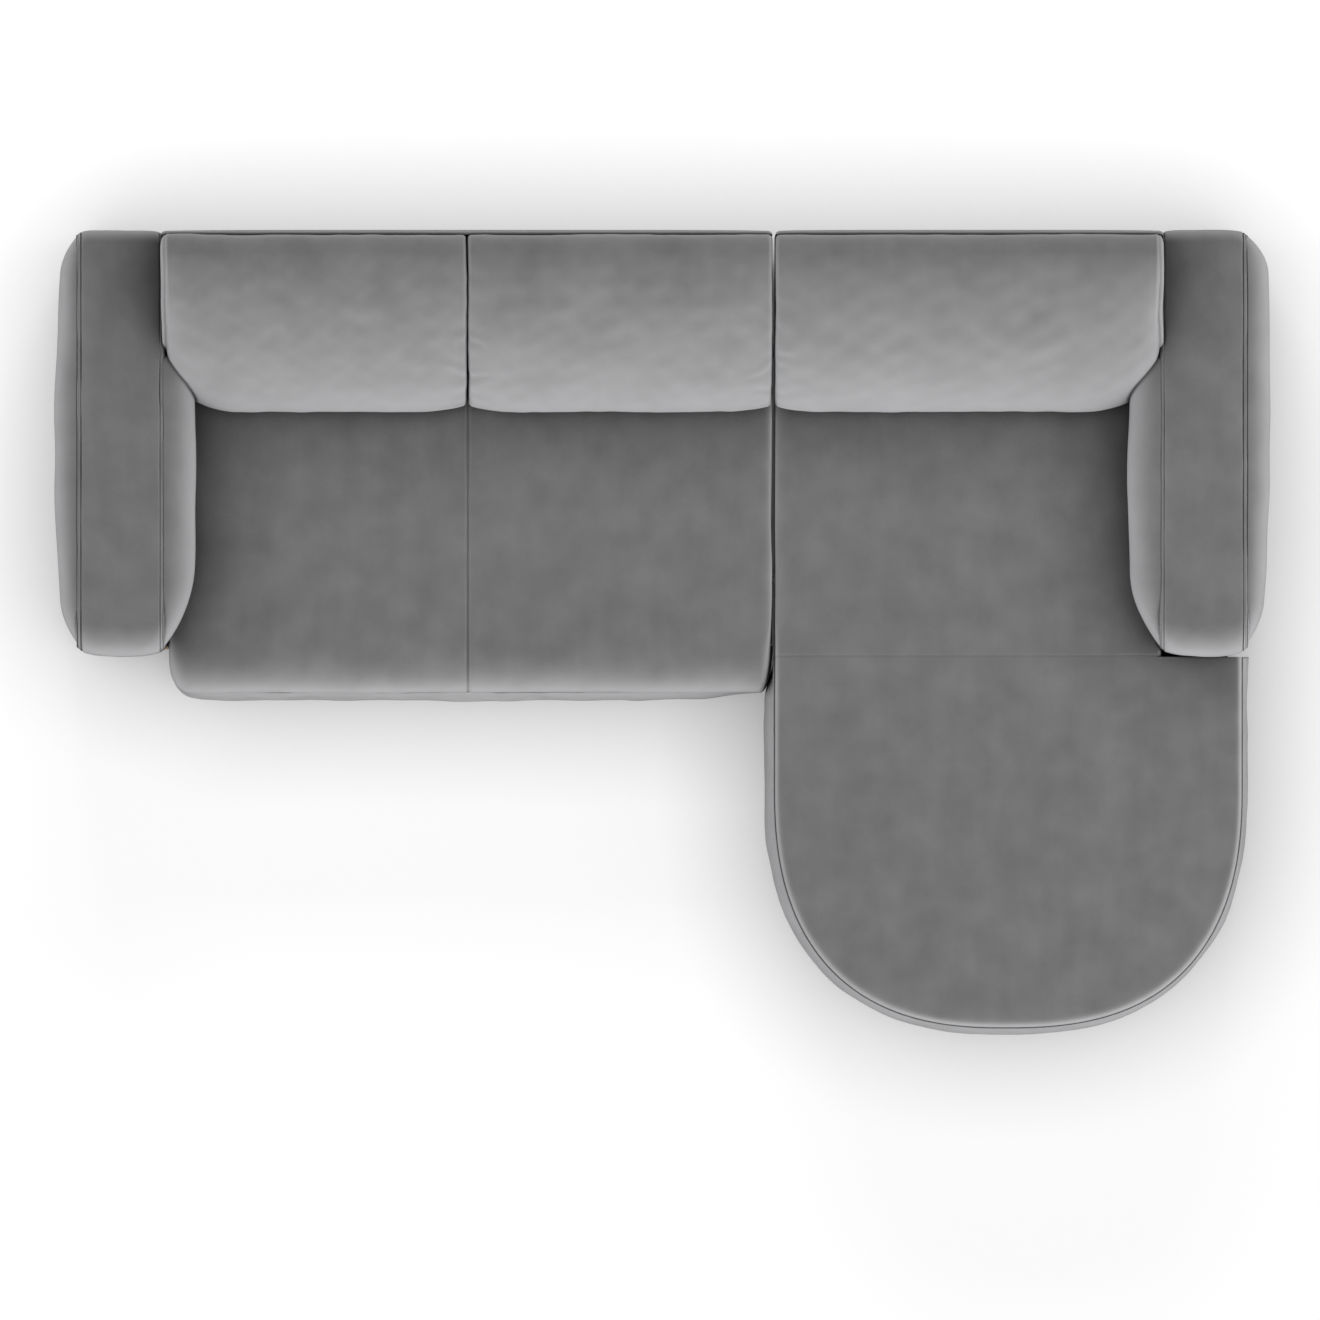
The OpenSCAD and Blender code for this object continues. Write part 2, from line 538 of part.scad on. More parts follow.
module seat_side_rails() color(TIMBER) difference() {
    union() {
        block([fit - arm_in_x, cross_y + arm_front_crown, base_z],
            [seat_left_rail_x, cover_rear_y - fit - rail_t, deck_z]);
        intersection() {
            block([seat_left_rail_x - rail_t, seat_inner_y + rail_t, base_z],
                [seat_left_rail_x, 0, deck_z]);
            seat_bound();
        }
        intersection() {
            block([seat_rail_x - rail_t, seat_inner_y + rail_t, base_z], [seat_rail_x, spring_y, deck_z]);
            seat_bound();
        }
        block([seat_rail_x - rail_t, spring_y - 1, base_z],
            [seat_rail_x, cover_rear_y - fit - rail_t, deck_z]);
    }
    arm_bolt_holes();
    bracket_screws(seat_rail_x, -1, screw_d + 0.1, 0);
}
seat_block_at = [
    for (x = [seat_left_rail_x + block_s[0] / 2, joint_x + rail_t / 2 + block_s[0] / 2,
        seat_rail_x - rail_t - block_s[0] / 2])
    for (y = [seat_inner_y + rail_t + block_s[0] / 2, cover_rear_y - fit - rail_t - block_s[0] / 2])
        [x, y]];
module corner_blocks(places) color(TIMBER) for (p = places) difference() {
    block([p[0] - block_s[0] / 2, p[1] - block_s[0] / 2, base_z],
        [p[0] + block_s[0] / 2, p[1] + block_s[0] / 2, base_z + block_s[1]]);
    translate([p[0], p[1], base_z - 1]) cylinder(h = block_s[1] + 2, d = hole_d);
    translate([p[0], p[1], base_z + block_s[1] - bolt_d - 1]) cylinder(h = bolt_d + 2, d = bolt_d + 3);
}
module feet(places) color(DARK) for (p = places) translate([p[0], p[1], 0]) {
    cylinder(h = foot_h, d1 = foot_d[1], d2 = foot_d[0]);
    translate([0, 0, foot_h]) cylinder(h = dust_t + block_s[1] - 1, d = bolt_d);
}
nut_flange_t = 1.5;
module foot_nuts(places) color(STEEL) for (p = places)
    translate([p[0], p[1], base_z + block_s[1]]) difference() {
        union() {
            cylinder(h = nut_flange_t, d = 3 * bolt_d);
            translate([0, 0, -bolt_d]) cylinder(h = bolt_d + nut_flange_t / 2, d = bolt_d + 2.8);
        }
        translate([0, 0, -bolt_d - 1]) cylinder(h = bolt_d + nut_flange_t + 2, d = bolt_d + 0.2);
    }
module dust_cover(places, outline) color(DARK) difference() {
    upright(foot_h, base_z, outline);
    for (p = places) translate([p[0], p[1], foot_h - 1]) cylinder(h = dust_t + 2, d = 3 * bolt_d);
}

// A flat ribbon round a line of points with square turns
function turn(p, i) = let (
    a = i > 0 ? (p[i] - p[i - 1]) / norm(p[i] - p[i - 1]) : [0, 0],
    b = i < len(p) - 1 ? (p[i + 1] - p[i]) / norm(p[i + 1] - p[i]) : [0, 0],
    along = i == 0 ? -b : i == len(p) - 1 ? a : [0, 0]) [
    [-a[1] - b[1], a[0] + b[0]], along];
function ribbon(p, half) = concat(
    [for (i = [0:len(p) - 1]) p[i] + half * (turn(p, i)[1] + turn(p, i)[0])],
    [for (i = [len(p) - 1:-1:0]) p[i] + half * (turn(p, i)[1] - turn(p, i)[0])]);
// A sinuous spring between two places, with a bar across at each end
module spring(x, y0, y1) {
    n = floor((y1 - y0) / spring_pitch);
    step = (y1 - y0) / n;
    upright(deck_z + fit, deck_z + fit + wire_t, ribbon(
        [for (i = [0:n]) for (s = [-1, 1]) [x + s * (i % 2 == 0 ? 1 : -1) * spring_w / 2, y0 + i * step]],
        wire_t / 2));
}
// The clips hold the end bars down on the rails and are open towards the spring
module spring_clip(x, y, side) color(STEEL) translate([x, y, deck_z]) rotate([0, 0, side > 0 ? 0 : 180])
    difference() {
        block([-clip_w / 2, -wire_t, 0], [clip_w / 2, wire_t + 2 * clip_t, wire_t + clip_t]);
        block([-clip_w, -wire_t - 1, -1], [clip_w, wire_t / 2 + fit, wire_t + 2 * fit]);
    }
seat_spring_y = [seat_inner_y + rail_t / 2, spring_y + spring_end];
seat_spring_x = [for (i = [1:5]) for (x0 = [seat_left_rail_x, joint_x])
    x0 + ((x0 == joint_x ? seat_rail_x - rail_t : joint_x) - x0) * (i - 0.5) / 5];
module seat_springs() color(STEEL) for (x = seat_spring_x) spring(x, seat_spring_y[0], seat_spring_y[1]);
module seat_spring_clips() for (x = seat_spring_x) {
    spring_clip(x, seat_spring_y[0], -1);
    spring_clip(x, seat_spring_y[1], 1);
}
module seat_felt() color(DARK) intersection() {
    block([seat_left_rail_x, seat_inner_y + fit, felt_z],
        [seat_rail_x - rail_t, spring_y - fit, felt_z + felt_t]);
    upright(felt_z - 1, felt_z + felt_t + 1, seat_inner);
}
module seat_feet() feet(seat_block_at);
module seat_corner_blocks() corner_blocks(seat_block_at);
module seat_foot_nuts() foot_nuts(seat_block_at);
// The dust covers close the modules' undersides, arms included
module seat_dust_cover() dust_cover(seat_block_at, [
    [seat_left_rail_x - rail_t, seat_inner_y + seat_corner[0]], [seat_left_rail_x + block_s[0], seat_inner_y],
    [seat_rail_x - seat_corner[1], seat_inner_y], [seat_rail_x, seat_inner_y + seat_corner[1]],
    [seat_rail_x, cover_rear_y - fit], [dust_edge - arm_out_x, cover_rear_y - fit],
    [dust_edge - arm_out_x, arm_y + dust_edge], [seat_left_rail_x - rail_t, arm_y + dust_edge]]);

// Connector plates: a pocket open at its top on the two-seater, a hook that drops in on the chaise
pocket_top = connector_z + pocket_rise;
plate_screw_at = [for (s = [-1, 1]) for (z = [plate_screw_in[1], plate[1] - plate_screw_in[1]])
    [s * (plate[0] / 2 - plate_screw_in[0]), z]];
module bracket_screws(x, dir, d, head) for (y = connector_y) for (p = plate_screw_at)
    translate([x, y + p[0], connector_z + p[1]]) rotate([0, 90 * dir, 0]) {
        cylinder(h = screw_l, d = d);
        if (head > 0) translate([0, 0, -plate[2] - head]) {
            cylinder(h = plate[2] + head + 0.01, d = d);
            cylinder(h = head, d = 2 * d);
        }
    }
module connector_plate(x, y) difference() {
    block([x, y - plate[0] / 2, connector_z], [x + plate[2], y + plate[0] / 2, connector_z + plate[1]]);
    for (p = plate_screw_at)
        translate([x - 1, y + p[0], connector_z + p[1]]) rotate([0, 90, 0])
            cylinder(h = plate[2] + 2, d = screw_d + 0.4);
}
module seat_connector_pockets() color(STEEL) for (y = connector_y) {
    x = seat_rail_x;
    half = tongue[0] / 2 + pocket_wall;
    connector_plate(x, y);
    difference() {
        block([x + plate[2], y - half, pocket_top - tongue[1] - 2 * pocket_wall],
            [x + 3 * plate[2] + 2 * fit, y + half, pocket_top]);
        block([x + plate[2], y - tongue[0] / 2 - fit, pocket_top - tongue[1] - pocket_wall],
            [x + 2 * plate[2] + 2 * fit, y + tongue[0] / 2 + fit, pocket_top + 1]);
    }
}
module chaise_connector_hooks() color(STEEL) for (y = connector_y) {
    x = chaise_rail_x;
    connector_plate(x - plate[2], y);
    block([seat_rail_x + plate[2] + fit, y - tongue[0] / 2, pocket_top + fit],
        [x - plate[2], y + tongue[0] / 2, pocket_top + fit + plate[2]]);
    block([seat_rail_x + plate[2] + fit, y - tongue[0] / 2, pocket_top - tongue[1]],
        [seat_rail_x + 2 * plate[2] + fit, y + tongue[0] / 2, pocket_top + fit + plate[2]]);
}
module seat_connector_screws() color(STEEL) bracket_screws(seat_rail_x, -1, screw_d, screw_d / 2);
module chaise_connector_screws() color(STEEL) bracket_screws(chaise_rail_x, 1, screw_d, screw_d / 2);

// The three back units
module back_frame_left() back_frame(-arm_in_x + fit, joint_x - fit, true, false);
module back_webbing_left() back_webbing(-arm_in_x + rib_in(true), joint_x - arm_pad_t);
module back_foam_left() back_foam(-arm_in_x + fit, joint_x - fit, true, false);
module back_cover_left() back_cover(-arm_in_x + fit, joint_x - fit, true, false);
module back_frame_middle() back_frame(joint_x + fit, seat_right_x, false, false);
module back_webbing_middle() back_webbing(joint_x + arm_pad_t, seat_right_x - arm_pad_t);
module back_foam_middle() back_foam(joint_x + fit, seat_right_x, false, false);
module back_cover_middle() back_cover(joint_x + fit, seat_right_x, false, false);
module back_frame_right() back_frame(chaise_left_x, arm_in_x - fit, false, true);
module back_webbing_right() back_webbing(chaise_left_x + arm_pad_t, arm_in_x - rib_in(true));
module back_foam_right() back_foam(chaise_left_x, arm_in_x - fit, false, true);
module back_cover_right() back_cover(chaise_left_x, arm_in_x - fit, false, true);
module seat_rear_panel() rear_panel(fit - arm_in_x, seat_right_x);
module chaise_rear_panel() rear_panel(chaise_left_x, arm_in_x - fit);

// The left arm, and the right arm as its mirror image
module left_arm_frame() arm_frame();
module left_arm_band() arm_band();
module left_arm_outer_pad() arm_outer_pad();
module left_arm_inner_pad() arm_inner_pad();
module left_arm_bolts() arm_bolts(seat_left_rail_x + arm_in_x + fit);
module right_arm_frame() mirror([1, 0, 0]) arm_frame();
module right_arm_band() mirror([1, 0, 0]) arm_band();
module right_arm_outer_pad() mirror([1, 0, 0]) arm_outer_pad();
module right_arm_inner_pad() mirror([1, 0, 0]) arm_inner_pad();
module right_arm_bolts() mirror([1, 0, 0]) arm_bolts(rail_t + 2 * fit);

// Timber frame of the chaise
chaise_inner_r = chaise_right_x - border_t - fit;
module chaise_rear_rail() color(TIMBER)
    block([chaise_rail_x, cover_rear_y - fit - rail_t, base_z], [arm_in_x - fit, cover_rear_y - fit, deck_z]);
module chaise_cross_rails() color(TIMBER) {
    block([chaise_rail_x + rail_t, cross_y - fit - rail_t, base_z],
        [chaise_inner_r - rail_t, cross_y - fit, deck_z]);
    block([chaise_rail_x + rail_t, spring_y, base_z], [arm_in_x - fit - rail_t, spring_y + rail_t, deck_z]);
    intersection() {
        block([chaise_mid_x - rail_t / 2, chaise_y, base_z],
            [chaise_mid_x + rail_t / 2, cross_y - fit - rail_t, deck_z - rail_drop]);
        upright(base_z - 1, deck_z, bow_inner);
    }
}
module chaise_side_rails() color(TIMBER) difference() {
    union() {
        block([chaise_rail_x, curve_y, base_z],
            [chaise_rail_x + rail_t, cover_rear_y - fit - rail_t, deck_z]);
        block([chaise_inner_r - rail_t, curve_y, base_z], [chaise_inner_r, cross_y - fit, deck_z]);
        block([arm_in_x - fit - rail_t, cross_y - fit, base_z],
            [arm_in_x - fit, cover_rear_y - fit - rail_t, deck_z]);
    }
    mirror([1, 0, 0]) arm_bolt_holes();
    bracket_screws(chaise_rail_x, 1, screw_d + 0.1, 0);
}
// The bow rail follows the curve inside the border
bow_outer = [for (p = outset([for (i = [0:24]) chaise_bow(i, 24)], -border_t - fit)) [p[0], p[1]]];
bow_inner = [for (p = outset([for (i = [0:24]) chaise_bow(i, 24)], -border_t - fit - rail_t)) [p[0], p[1]]];
module chaise_bow_rail() color(PLYWOOD) intersection() {
    upright(base_z, deck_z, concat(bow_outer, reversed(bow_inner)));
    block([chaise_rail_x, chaise_y, base_z - 1], [chaise_inner_r, curve_y, deck_z + 1]);
}
// Outer face of the bow rail at the place x
function bow_y(x) = curve_y - (chaise_curve - border_t - fit)
    * pow(1 - pow(abs(x - chaise_mid_x) / (chaise_half - border_t - fit), chaise_power), 1 / chaise_power);
chaise_block_at = concat(
    [for (y = [cross_y - fit - rail_t - block_s[0] / 2])
        for (x = [chaise_rail_x + rail_t + block_s[0] / 2, chaise_inner_r - rail_t - block_s[0] / 2]) [x, y]],
    [for (x = [chaise_rail_x + rail_t + block_s[0] / 2, arm_in_x - fit - rail_t - block_s[0] / 2])
        [x, cover_rear_y - fit - rail_t - block_s[0] / 2]],
    [for (side = [-1, 1]) [chaise_mid_x + side * (rail_t + block_s[0]) / 2,
        bow_y(chaise_mid_x + block_s[0]) + rail_t + (block_s[0] + block_s[1] / 2) / 2]]);
module chaise_corner_blocks() corner_blocks(chaise_block_at);
module chaise_feet() feet(chaise_block_at);
module chaise_foot_nuts() foot_nuts(chaise_block_at);
module chaise_dust_cover() dust_cover(chaise_block_at, concat(bow_outer,
    [[chaise_inner_r, arm_y + dust_edge], [arm_out_x - dust_edge, arm_y + dust_edge],
     [arm_out_x - dust_edge, cover_rear_y - fit], [chaise_rail_x, cover_rear_y - fit]]));
chaise_rear_spring_x = [for (i = [1:5])
    chaise_rail_x + rail_t + (arm_in_x - fit - 2 * rail_t - chaise_rail_x) * (i - 0.5) / 5];
chaise_front_spring_x = [for (i = [-3:3]) if (i != 0)
    chaise_mid_x + (i - sign(i) * 0.5) * (chaise_half - border_t - 2 * rail_t) / 3];
module each_chaise_spring() {
    for (x = chaise_rear_spring_x) {
        $at = [x, cross_y - fit - spring_end, spring_y + spring_end];
        children();
    }
    for (x = chaise_front_spring_x) {
        front = bow_y(x + spring_w / 2 * sign(x - chaise_mid_x)) + rail_t * 0.8;
        $at = [x, front, cross_y - fit - rail_t + 1.5 * wire_t];
        children();
    }
}
module chaise_springs() color(STEEL) each_chaise_spring() spring($at[0], $at[1], $at[2]);
module chaise_spring_clips() each_chaise_spring() {
    spring_clip($at[0], $at[1], -1);
    spring_clip($at[0], $at[2], 1);
}
module chaise_felt() color(DARK) {
    upright(felt_z, felt_z + felt_t, concat(bow_inner,
        [[chaise_inner_r - rail_t, cross_y - fit], [chaise_rail_x + rail_t, cross_y - fit]]));
    block([chaise_rail_x + rail_t, cross_y, felt_z],
        [arm_in_x - fit - rail_t, spring_y - fit, felt_z + felt_t]);
}
module chaise_foam() color(FOAM) {
    upright(foam_z, foam_top - fit, chaise_foam_front(fit));
    block([chaise_rail_x, cross_y, foam_z], [arm_in_x - 2 * fit, spring_y - fit, foam_top - fit]);
}
function chaise_foam_front(gap) = concat(
    [for (p = outset(chaise_path, -border_t - gap)) [p[0], min(p[1], cross_y - gap)]],
    [[chaise_right_x - border_t - gap, cross_y - gap], [chaise_left_x + border_t + gap, cross_y - gap]]);

// The chaise's covers: two panels that meet at the cross seam
chaise_edge_z = chaise_seam_z + 2 * welt_r;
function chaise_ring(s, z) = concat(
    [for (p = chaise_path) [chaise_mid_x + s * (p[0] - chaise_mid_x), cross_y + s * (p[1] - cross_y), z]],
    [[chaise_mid_x + s * chaise_half, cross_y, z]]);
module chaise_front_cover() color(VELVET) difference() {
    loft(concat(
        [chaise_ring(1, chaise_seam_z + welt_r)],
        [for (s = [1, 0.994, 0.98, 0.955, 0.92, 0.85, 0.6, 0.25])
            chaise_ring(s, chaise_edge_z + (seat_h - chaise_edge_z) * crown(s, 16))]));
    upright(chaise_seam_z - 1, foam_top, chaise_foam_front(0));
}
function rear_cover_section(drop) = [
    [spring_y - fit, chaise_seam_z + welt_r], [spring_y - fit, seat_h - drop],
    [cross_y + fit + cross_turn[0], seat_h - drop], [cross_y + fit, seat_h - drop - cross_turn[1]],
    [cross_y + fit, chaise_seam_z + welt_r]];
module chaise_rear_cover() color(VELVET) {
    far = arm_in_x - fit;
    difference() {
        loft([for (t = [0, 0.02, 0.08, 0.2, 0.45, 1])
                at_x(chaise_left_x + t * chaise_edge[0], rear_cover_section(chaise_edge[1] * quarter(t))),
            for (t = [1, 0.45, 0.2, 0.08, 0.02, 0])
                at_x(far - t * chaise_edge[0], rear_cover_section(chaise_edge[1] * quarter(t)))]);
        block([chaise_rail_x - fit, cross_y - 1, chaise_seam_z - 1], [far - fit, spring_y + 1, foam_top]);
    }
}
module chaise_border() color(VELVET)
    border(chaise_path, base_z, chaise_seam_z - welt_r, border_t, chaise_bulge);
// Piping with its flange held in the seam
module chaise_welt() color(VELVET) sweep(chaise_path,
    [[-border_t + 1, chaise_seam_z + 0.6], [-welt_r, chaise_seam_z + 0.6],
     for (a = [120:-60:-120]) welt_r * 0.9 * [cos(a), sin(a)] + [0, chaise_seam_z],
     [-welt_r, chaise_seam_z - 0.6], [-border_t + 1, chaise_seam_z - 0.6]], [], 0);

seat_front_rail();
seat_rear_rail();
seat_cross_rails();
seat_side_rails();
seat_corner_blocks();
seat_springs();
seat_spring_clips();
seat_felt();
seat_foam();
seat_cover();
seat_front_border();
seat_side_pad();
seat_rear_panel();
seat_feet();
seat_foot_nuts();
seat_dust_cover();
seat_connector_pockets();
seat_connector_screws();
back_frame_left();
back_webbing_left();
back_foam_left();
back_cover_left();
back_frame_middle();
back_webbing_middle();
back_foam_middle();
back_cover_middle();
left_arm_frame();
left_arm_band();
left_arm_outer_pad();
left_arm_inner_pad();
left_arm_bolts();
chaise_cross_rails();
chaise_rear_rail();
chaise_side_rails();
chaise_bow_rail();
chaise_corner_blocks();
chaise_springs();
chaise_spring_clips();
chaise_felt();
chaise_foam();
chaise_rear_cover();
chaise_front_cover();
chaise_border();
chaise_welt();
chaise_side_pad();
chaise_rear_panel();
chaise_feet();
chaise_foot_nuts();
chaise_dust_cover();
chaise_connector_hooks();
chaise_connector_screws();
back_frame_right();
back_webbing_right();
back_foam_right();
back_cover_right();
right_arm_frame();
right_arm_band();
right_arm_outer_pad();
right_arm_inner_pad();
right_arm_bolts();
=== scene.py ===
"""The looks of the corner sofa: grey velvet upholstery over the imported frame, seen from straight above.

Each padded cover of the CAD model is replaced by a finer one, a grid of rings: sections laid side by
side along X, or swept along a path in plan. Lengths are in metres, +Y is the rear, and left and right
are as seen by someone who looks at the front.
"""

import json
import math

import bpy
import numpy as np
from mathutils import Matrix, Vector

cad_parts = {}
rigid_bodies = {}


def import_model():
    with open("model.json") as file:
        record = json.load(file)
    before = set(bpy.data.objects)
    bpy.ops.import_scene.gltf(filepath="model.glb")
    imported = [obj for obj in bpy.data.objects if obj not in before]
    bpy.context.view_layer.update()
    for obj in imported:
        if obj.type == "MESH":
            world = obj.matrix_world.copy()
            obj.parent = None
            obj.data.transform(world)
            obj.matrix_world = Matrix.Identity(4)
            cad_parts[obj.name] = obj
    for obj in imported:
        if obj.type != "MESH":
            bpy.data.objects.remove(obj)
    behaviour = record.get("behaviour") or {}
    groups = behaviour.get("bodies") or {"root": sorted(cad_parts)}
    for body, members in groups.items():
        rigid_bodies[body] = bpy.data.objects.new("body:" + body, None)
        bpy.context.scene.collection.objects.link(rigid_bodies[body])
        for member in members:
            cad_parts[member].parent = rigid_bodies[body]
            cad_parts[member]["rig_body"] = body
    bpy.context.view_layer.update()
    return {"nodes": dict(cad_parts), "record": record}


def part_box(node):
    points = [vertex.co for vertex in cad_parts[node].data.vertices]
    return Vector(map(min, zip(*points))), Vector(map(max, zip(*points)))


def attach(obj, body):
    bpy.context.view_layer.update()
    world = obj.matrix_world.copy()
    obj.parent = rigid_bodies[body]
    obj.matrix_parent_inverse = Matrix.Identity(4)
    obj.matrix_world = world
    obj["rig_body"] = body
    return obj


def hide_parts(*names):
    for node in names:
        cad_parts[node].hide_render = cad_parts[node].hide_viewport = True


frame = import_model()
NODES = frame["nodes"]

# The back cushions
CREST_IN = 0.044  # from the rear of a cushion to its crest
CREST_DROP = 0.018  # from the crest to the seam above the rear panel
BELLY_H = 0.055  # height of the fullest line above the seat
BACK_POWER = 1.5  # the front curve: 2 is an ellipse, less is straighter
BACK_TUCK = 0.013  # draw-in at the seat
BACK_END = (0.175, 0.110)  # length and depth of the rounded end beside an arm
BACK_PINCH = (0.117, 0.016, 0.009)  # length, depth and drop of the draw-in at a joint
PINCH_POWER = 2.2
JOINT_EDGE = (0.010, 0.009)  # width and depth of the rounded edge at a joint
JOINT_IN = 0.001  # how far the seam at a joint stays inside the box
SIDE_CROWN = 0.010  # bulge of a side panel past its seam
JOINT_CROWN = 0.0005  # the same where two cushions meet
SIDE_SEAM = ((0.0022, 0.001, 0.003), (-0.0008, 0.008, 0.004))  # depth, place and width: groove, ridge
PUCKER = (0.0012, 0.05, 120.0)  # depth, reach and closeness of the gathers at a joint
PUCKER_TURN = (2.0, 0.1)  # how much the gathers wander, and over what length
BACK_WAVES = ((0.22, 0.0016), (0.06, 0.0005))  # length and depth of the waves in the cloth

# The two-seater's seat
SEAT_ROLL = 0.120  # depth of the rounded front edge
ROLL_POWER = 2.3
SEAT_CORNERS = ((0.0586, 0.0985, 2.5), (0.028, 0.110, 2.0))  # left, right: radii in X and Y, and power
SEAT_END_DROP = 0.012
SEAT_SEAM = (0.0045, 0.0032)  # half the distance between the rows of stitches, and their depth
SEAM_SPREAD = (0.4, 0.35, 0.45)  # widths of the seam and its stitches, and the stitches' share of depth
SEAM_NEAR = 0.04  # the grid is finer this near to the seam
SEAT_WAVES = ((0.25, 0.0018), (0.07, 0.0005))
END_CROWN = 0.001  # bulge of the seat's end walls
BORDER_FADE = (0.080, 0.150)  # how far from the left and right ends the border bulges fully
BORDER_END = 0.03  # length at the right end that doesn't bulge
BORDER_LEAST = 0.85  # share of the bulge that is left beside the arm
BESIDE_ARM = (0.02, 0.01)  # how soon that share starts, and how near to the end in X it holds
SEAT_BULGE = 0.018
SEAT_GATHERS = 0.0006

# The chaise
CHAISE_EDGE = 120.0  # how square the front panel is at its welt
CHAISE_SEAM_H = 0.0045  # height of the front panel's seam above its lining
CHAISE_OUT = (0.009, 0.007)  # how much further out the seam stands at the right and the front
CHAISE_OUT_BLEND = 0.35  # length over which it comes out to the right
SHARP_ANGLE = 50.0  # the front panel is shaded sharp where it turns by more than this
CHAISE_CURVE = 0.562  # length of the rounded front
CHAISE_POWER = 2.5
CHAISE_BULGE = 0.025
CHAISE_GATHERS = 0.0010
CHAISE_BORDER_FADE = 0.10
FRONT_CALM = (0.06, 0.05)  # how near to the welt and the cross seam the front panel has no waves
REAR_CALM = (0.05, 0.02)  # how near to the cross seam and the back the rear panel has none
REAR_END = (0.06, 0.018)  # length and drop of the rear panel's rounded ends
CROSS_NEAR = 0.016  # the rear panel's grid is finer this near to the cross seam
CROSS_TURN = (0.0002, 0.001)  # radii in Y and Z of the edge at the cross seam
CROSS_STITCH = (0.0008, 0.0047, 0.0016)  # depth, place and width of the line of stitches
CROSS_BLEND = 0.10  # length over which the rear panel's ends take on the front panel's
CROSS_SHARP = 0.87  # share of the thickness by which the front panel drops at its edge
REAR_WAVES = ((0.25, 0.0014), (0.07, 0.0004))
WELT_R = 0.0045
WELT_WAVE = (0.05, 0.03)  # share of the radius by which the piping varies, and over what length

# The borders of both modules
PATH_STEP = 0.006  # between the rings laid along a path
BORDER_T = 0.018
BORDER_HEM = 0.4  # share of the thickness that is turned in before the cloth comes out
BORDER_POWER = 2.4
BORDER_WAVES = ((0.18, 0.0018), (0.05, 0.0004))
GATHER_SIZE = (0.05, 0.25, 0.035)  # width of the gathers, their share upright, and their reach down

# The arms
ARM_ROUND = (0.075, 0.030)  # corner radii, front and rear
ARM_FRONT_CROWN = 0.018
ARM_TOP_CROWN = 0.007
ARM_REAR_CROWN = 0.009
CROWN_POWERS = (2.4, 6.0)  # roundness of the band across: front and top, then rear
BAND_PAST = 0.008  # how far the band's flanges reach past its seams, under the pads
BAND_NEAR = 0.018  # the band's grid is finer this near to its seams
BAND_FLANGE = (0.009, 0.001, 0.002)  # depth of a flange, its distance past the stitches, and its slope
SEAM_RISE = (0.0008, 0.6)  # height of the ridge along a seam, and its width as a share of the seam's
SEAM_HALF = (0.0048, 0.0036)  # outer, inner: half the distance between a seam's two lines of stitches
STITCH_DEPTH = (0.0036, 0.0024)  # outer, inner
STITCH_WIDTH = 0.0013
BAND_WAVES = ((0.2, 0.0012), (0.05, 0.0003))
OUT_EDGE = (0.092, 0.070, 0.108, 0.070)  # depths of an outer pad's edges: rear, top, front, bottom
OUT_POWERS = (6.5, 2.0, 8.0, 8.0)  # its corners: rear top, front top, front bottom, rear bottom
OUT_SLIM = {"left": (0.31, 0.33), "right": (0.07, 0.33)}  # share of bulge lost towards rear and front
OUT_FULL = 0.03  # from the middle of an arm forward to an outer pad's fullest place
OUT_SHY = 0.002  # how far an outer pad's bulge stays inside its box
PAD_SHY = 0.007  # how far an outer pad's ends stay inside the band's ends
IN_EDGE = (0.034, 0.188)  # depths of an inner pad's edges at its rear and its front
IN_POWERS = (4.0, 2.5, 2.5, 4.0)
IN_SLIM = (0.12, 0.12)
IN_PAST = 0.075  # how far an inner pad is pushed in behind the rounded corner of the back
IN_LEVEL = 0.001  # half the level strip between an inner pad's rounded top and bottom
IN_FULL = 0.110  # from the front of the backs to an inner pad's fullest place
PAD_EVEN = 0.15  # share of the way to an end of a pad where it isn't slimmer yet
PAD_SLIM_POWER = 1.2
LOAF_POWER = 0.95
PAD_FINE = 15.0  # the rings are closer together up to this angle from the seam
PAD_SPREAD = 0.3  # share of the way to a pad's middle over which its points are spread evenly
PAD_WAVE = (0.2, 0.0015)
PAD_BACK = 0.003  # how far a pad's back lies inside the band

# The ends of all covers
END_POWER = 1.8  # how much closer together the grid is near an end
SIDE_ROUND = 0.16  # share of the way to its middle over which a side panel rounds off

# The rear panels
REAR_EDGE = 0.012  # how far in they round off
REAR_PUFF = (0.004, 6.0)  # depth and power of the bulge
REAR_LEAST = 0.03  # share of the thickness that is left at the rim
REAR_NEAR = 0.03  # the grid is finer this near to the rim

SEEDS = {"pucker": 5, "back": 11, "seat": 31, "seat border": 41, "chaise border": 51, "welt": 61,
         "front top": 71, "rear top": 81, "left band": 91, "right band": 95, "outer pad": 101,
         "inner pad": 111}

# The velvet
VELVET_DARK = (0.163, 0.162, 0.164)
VELVET_LIGHT = (0.212, 0.211, 0.214)
VELVET_PAINTED_SHADE = (0.012, 0.012, 0.012)  # painted shade: the colour the cloth is darkened to deep in a crevice
VELVET_AT = (0.36, 0.64)  # the tones at which the cloth is darkest and lightest
CLOUDS = (12.0, 5.0)  # scale and detail of the brushed clouds, streaks and grain
STREAKS = (24.0, 2.0, (1.0, 0.2, 0.3))
GRAIN = (700.0, 2.0)
STREAK_SHARE = 0.25
GRAIN_SHARE = 0.3
SOFT_BUMP = (0.13, 0.004)  # strength and distance
GRAIN_BUMP = (0.4, 0.0006)
# Painted shade: ambient occlusion over a wide reach for crevices darkens the velvet's colour and weakens
# its sheen
PAINTED_SHADE_REACH = 0.25
PAINTED_SHADE_POWERS = (1.6, 0.12)  # how fast the painted shade darkens the colour and weakens the sheen in a crevice
PAINTED_SHADE_SAMPLES = 5
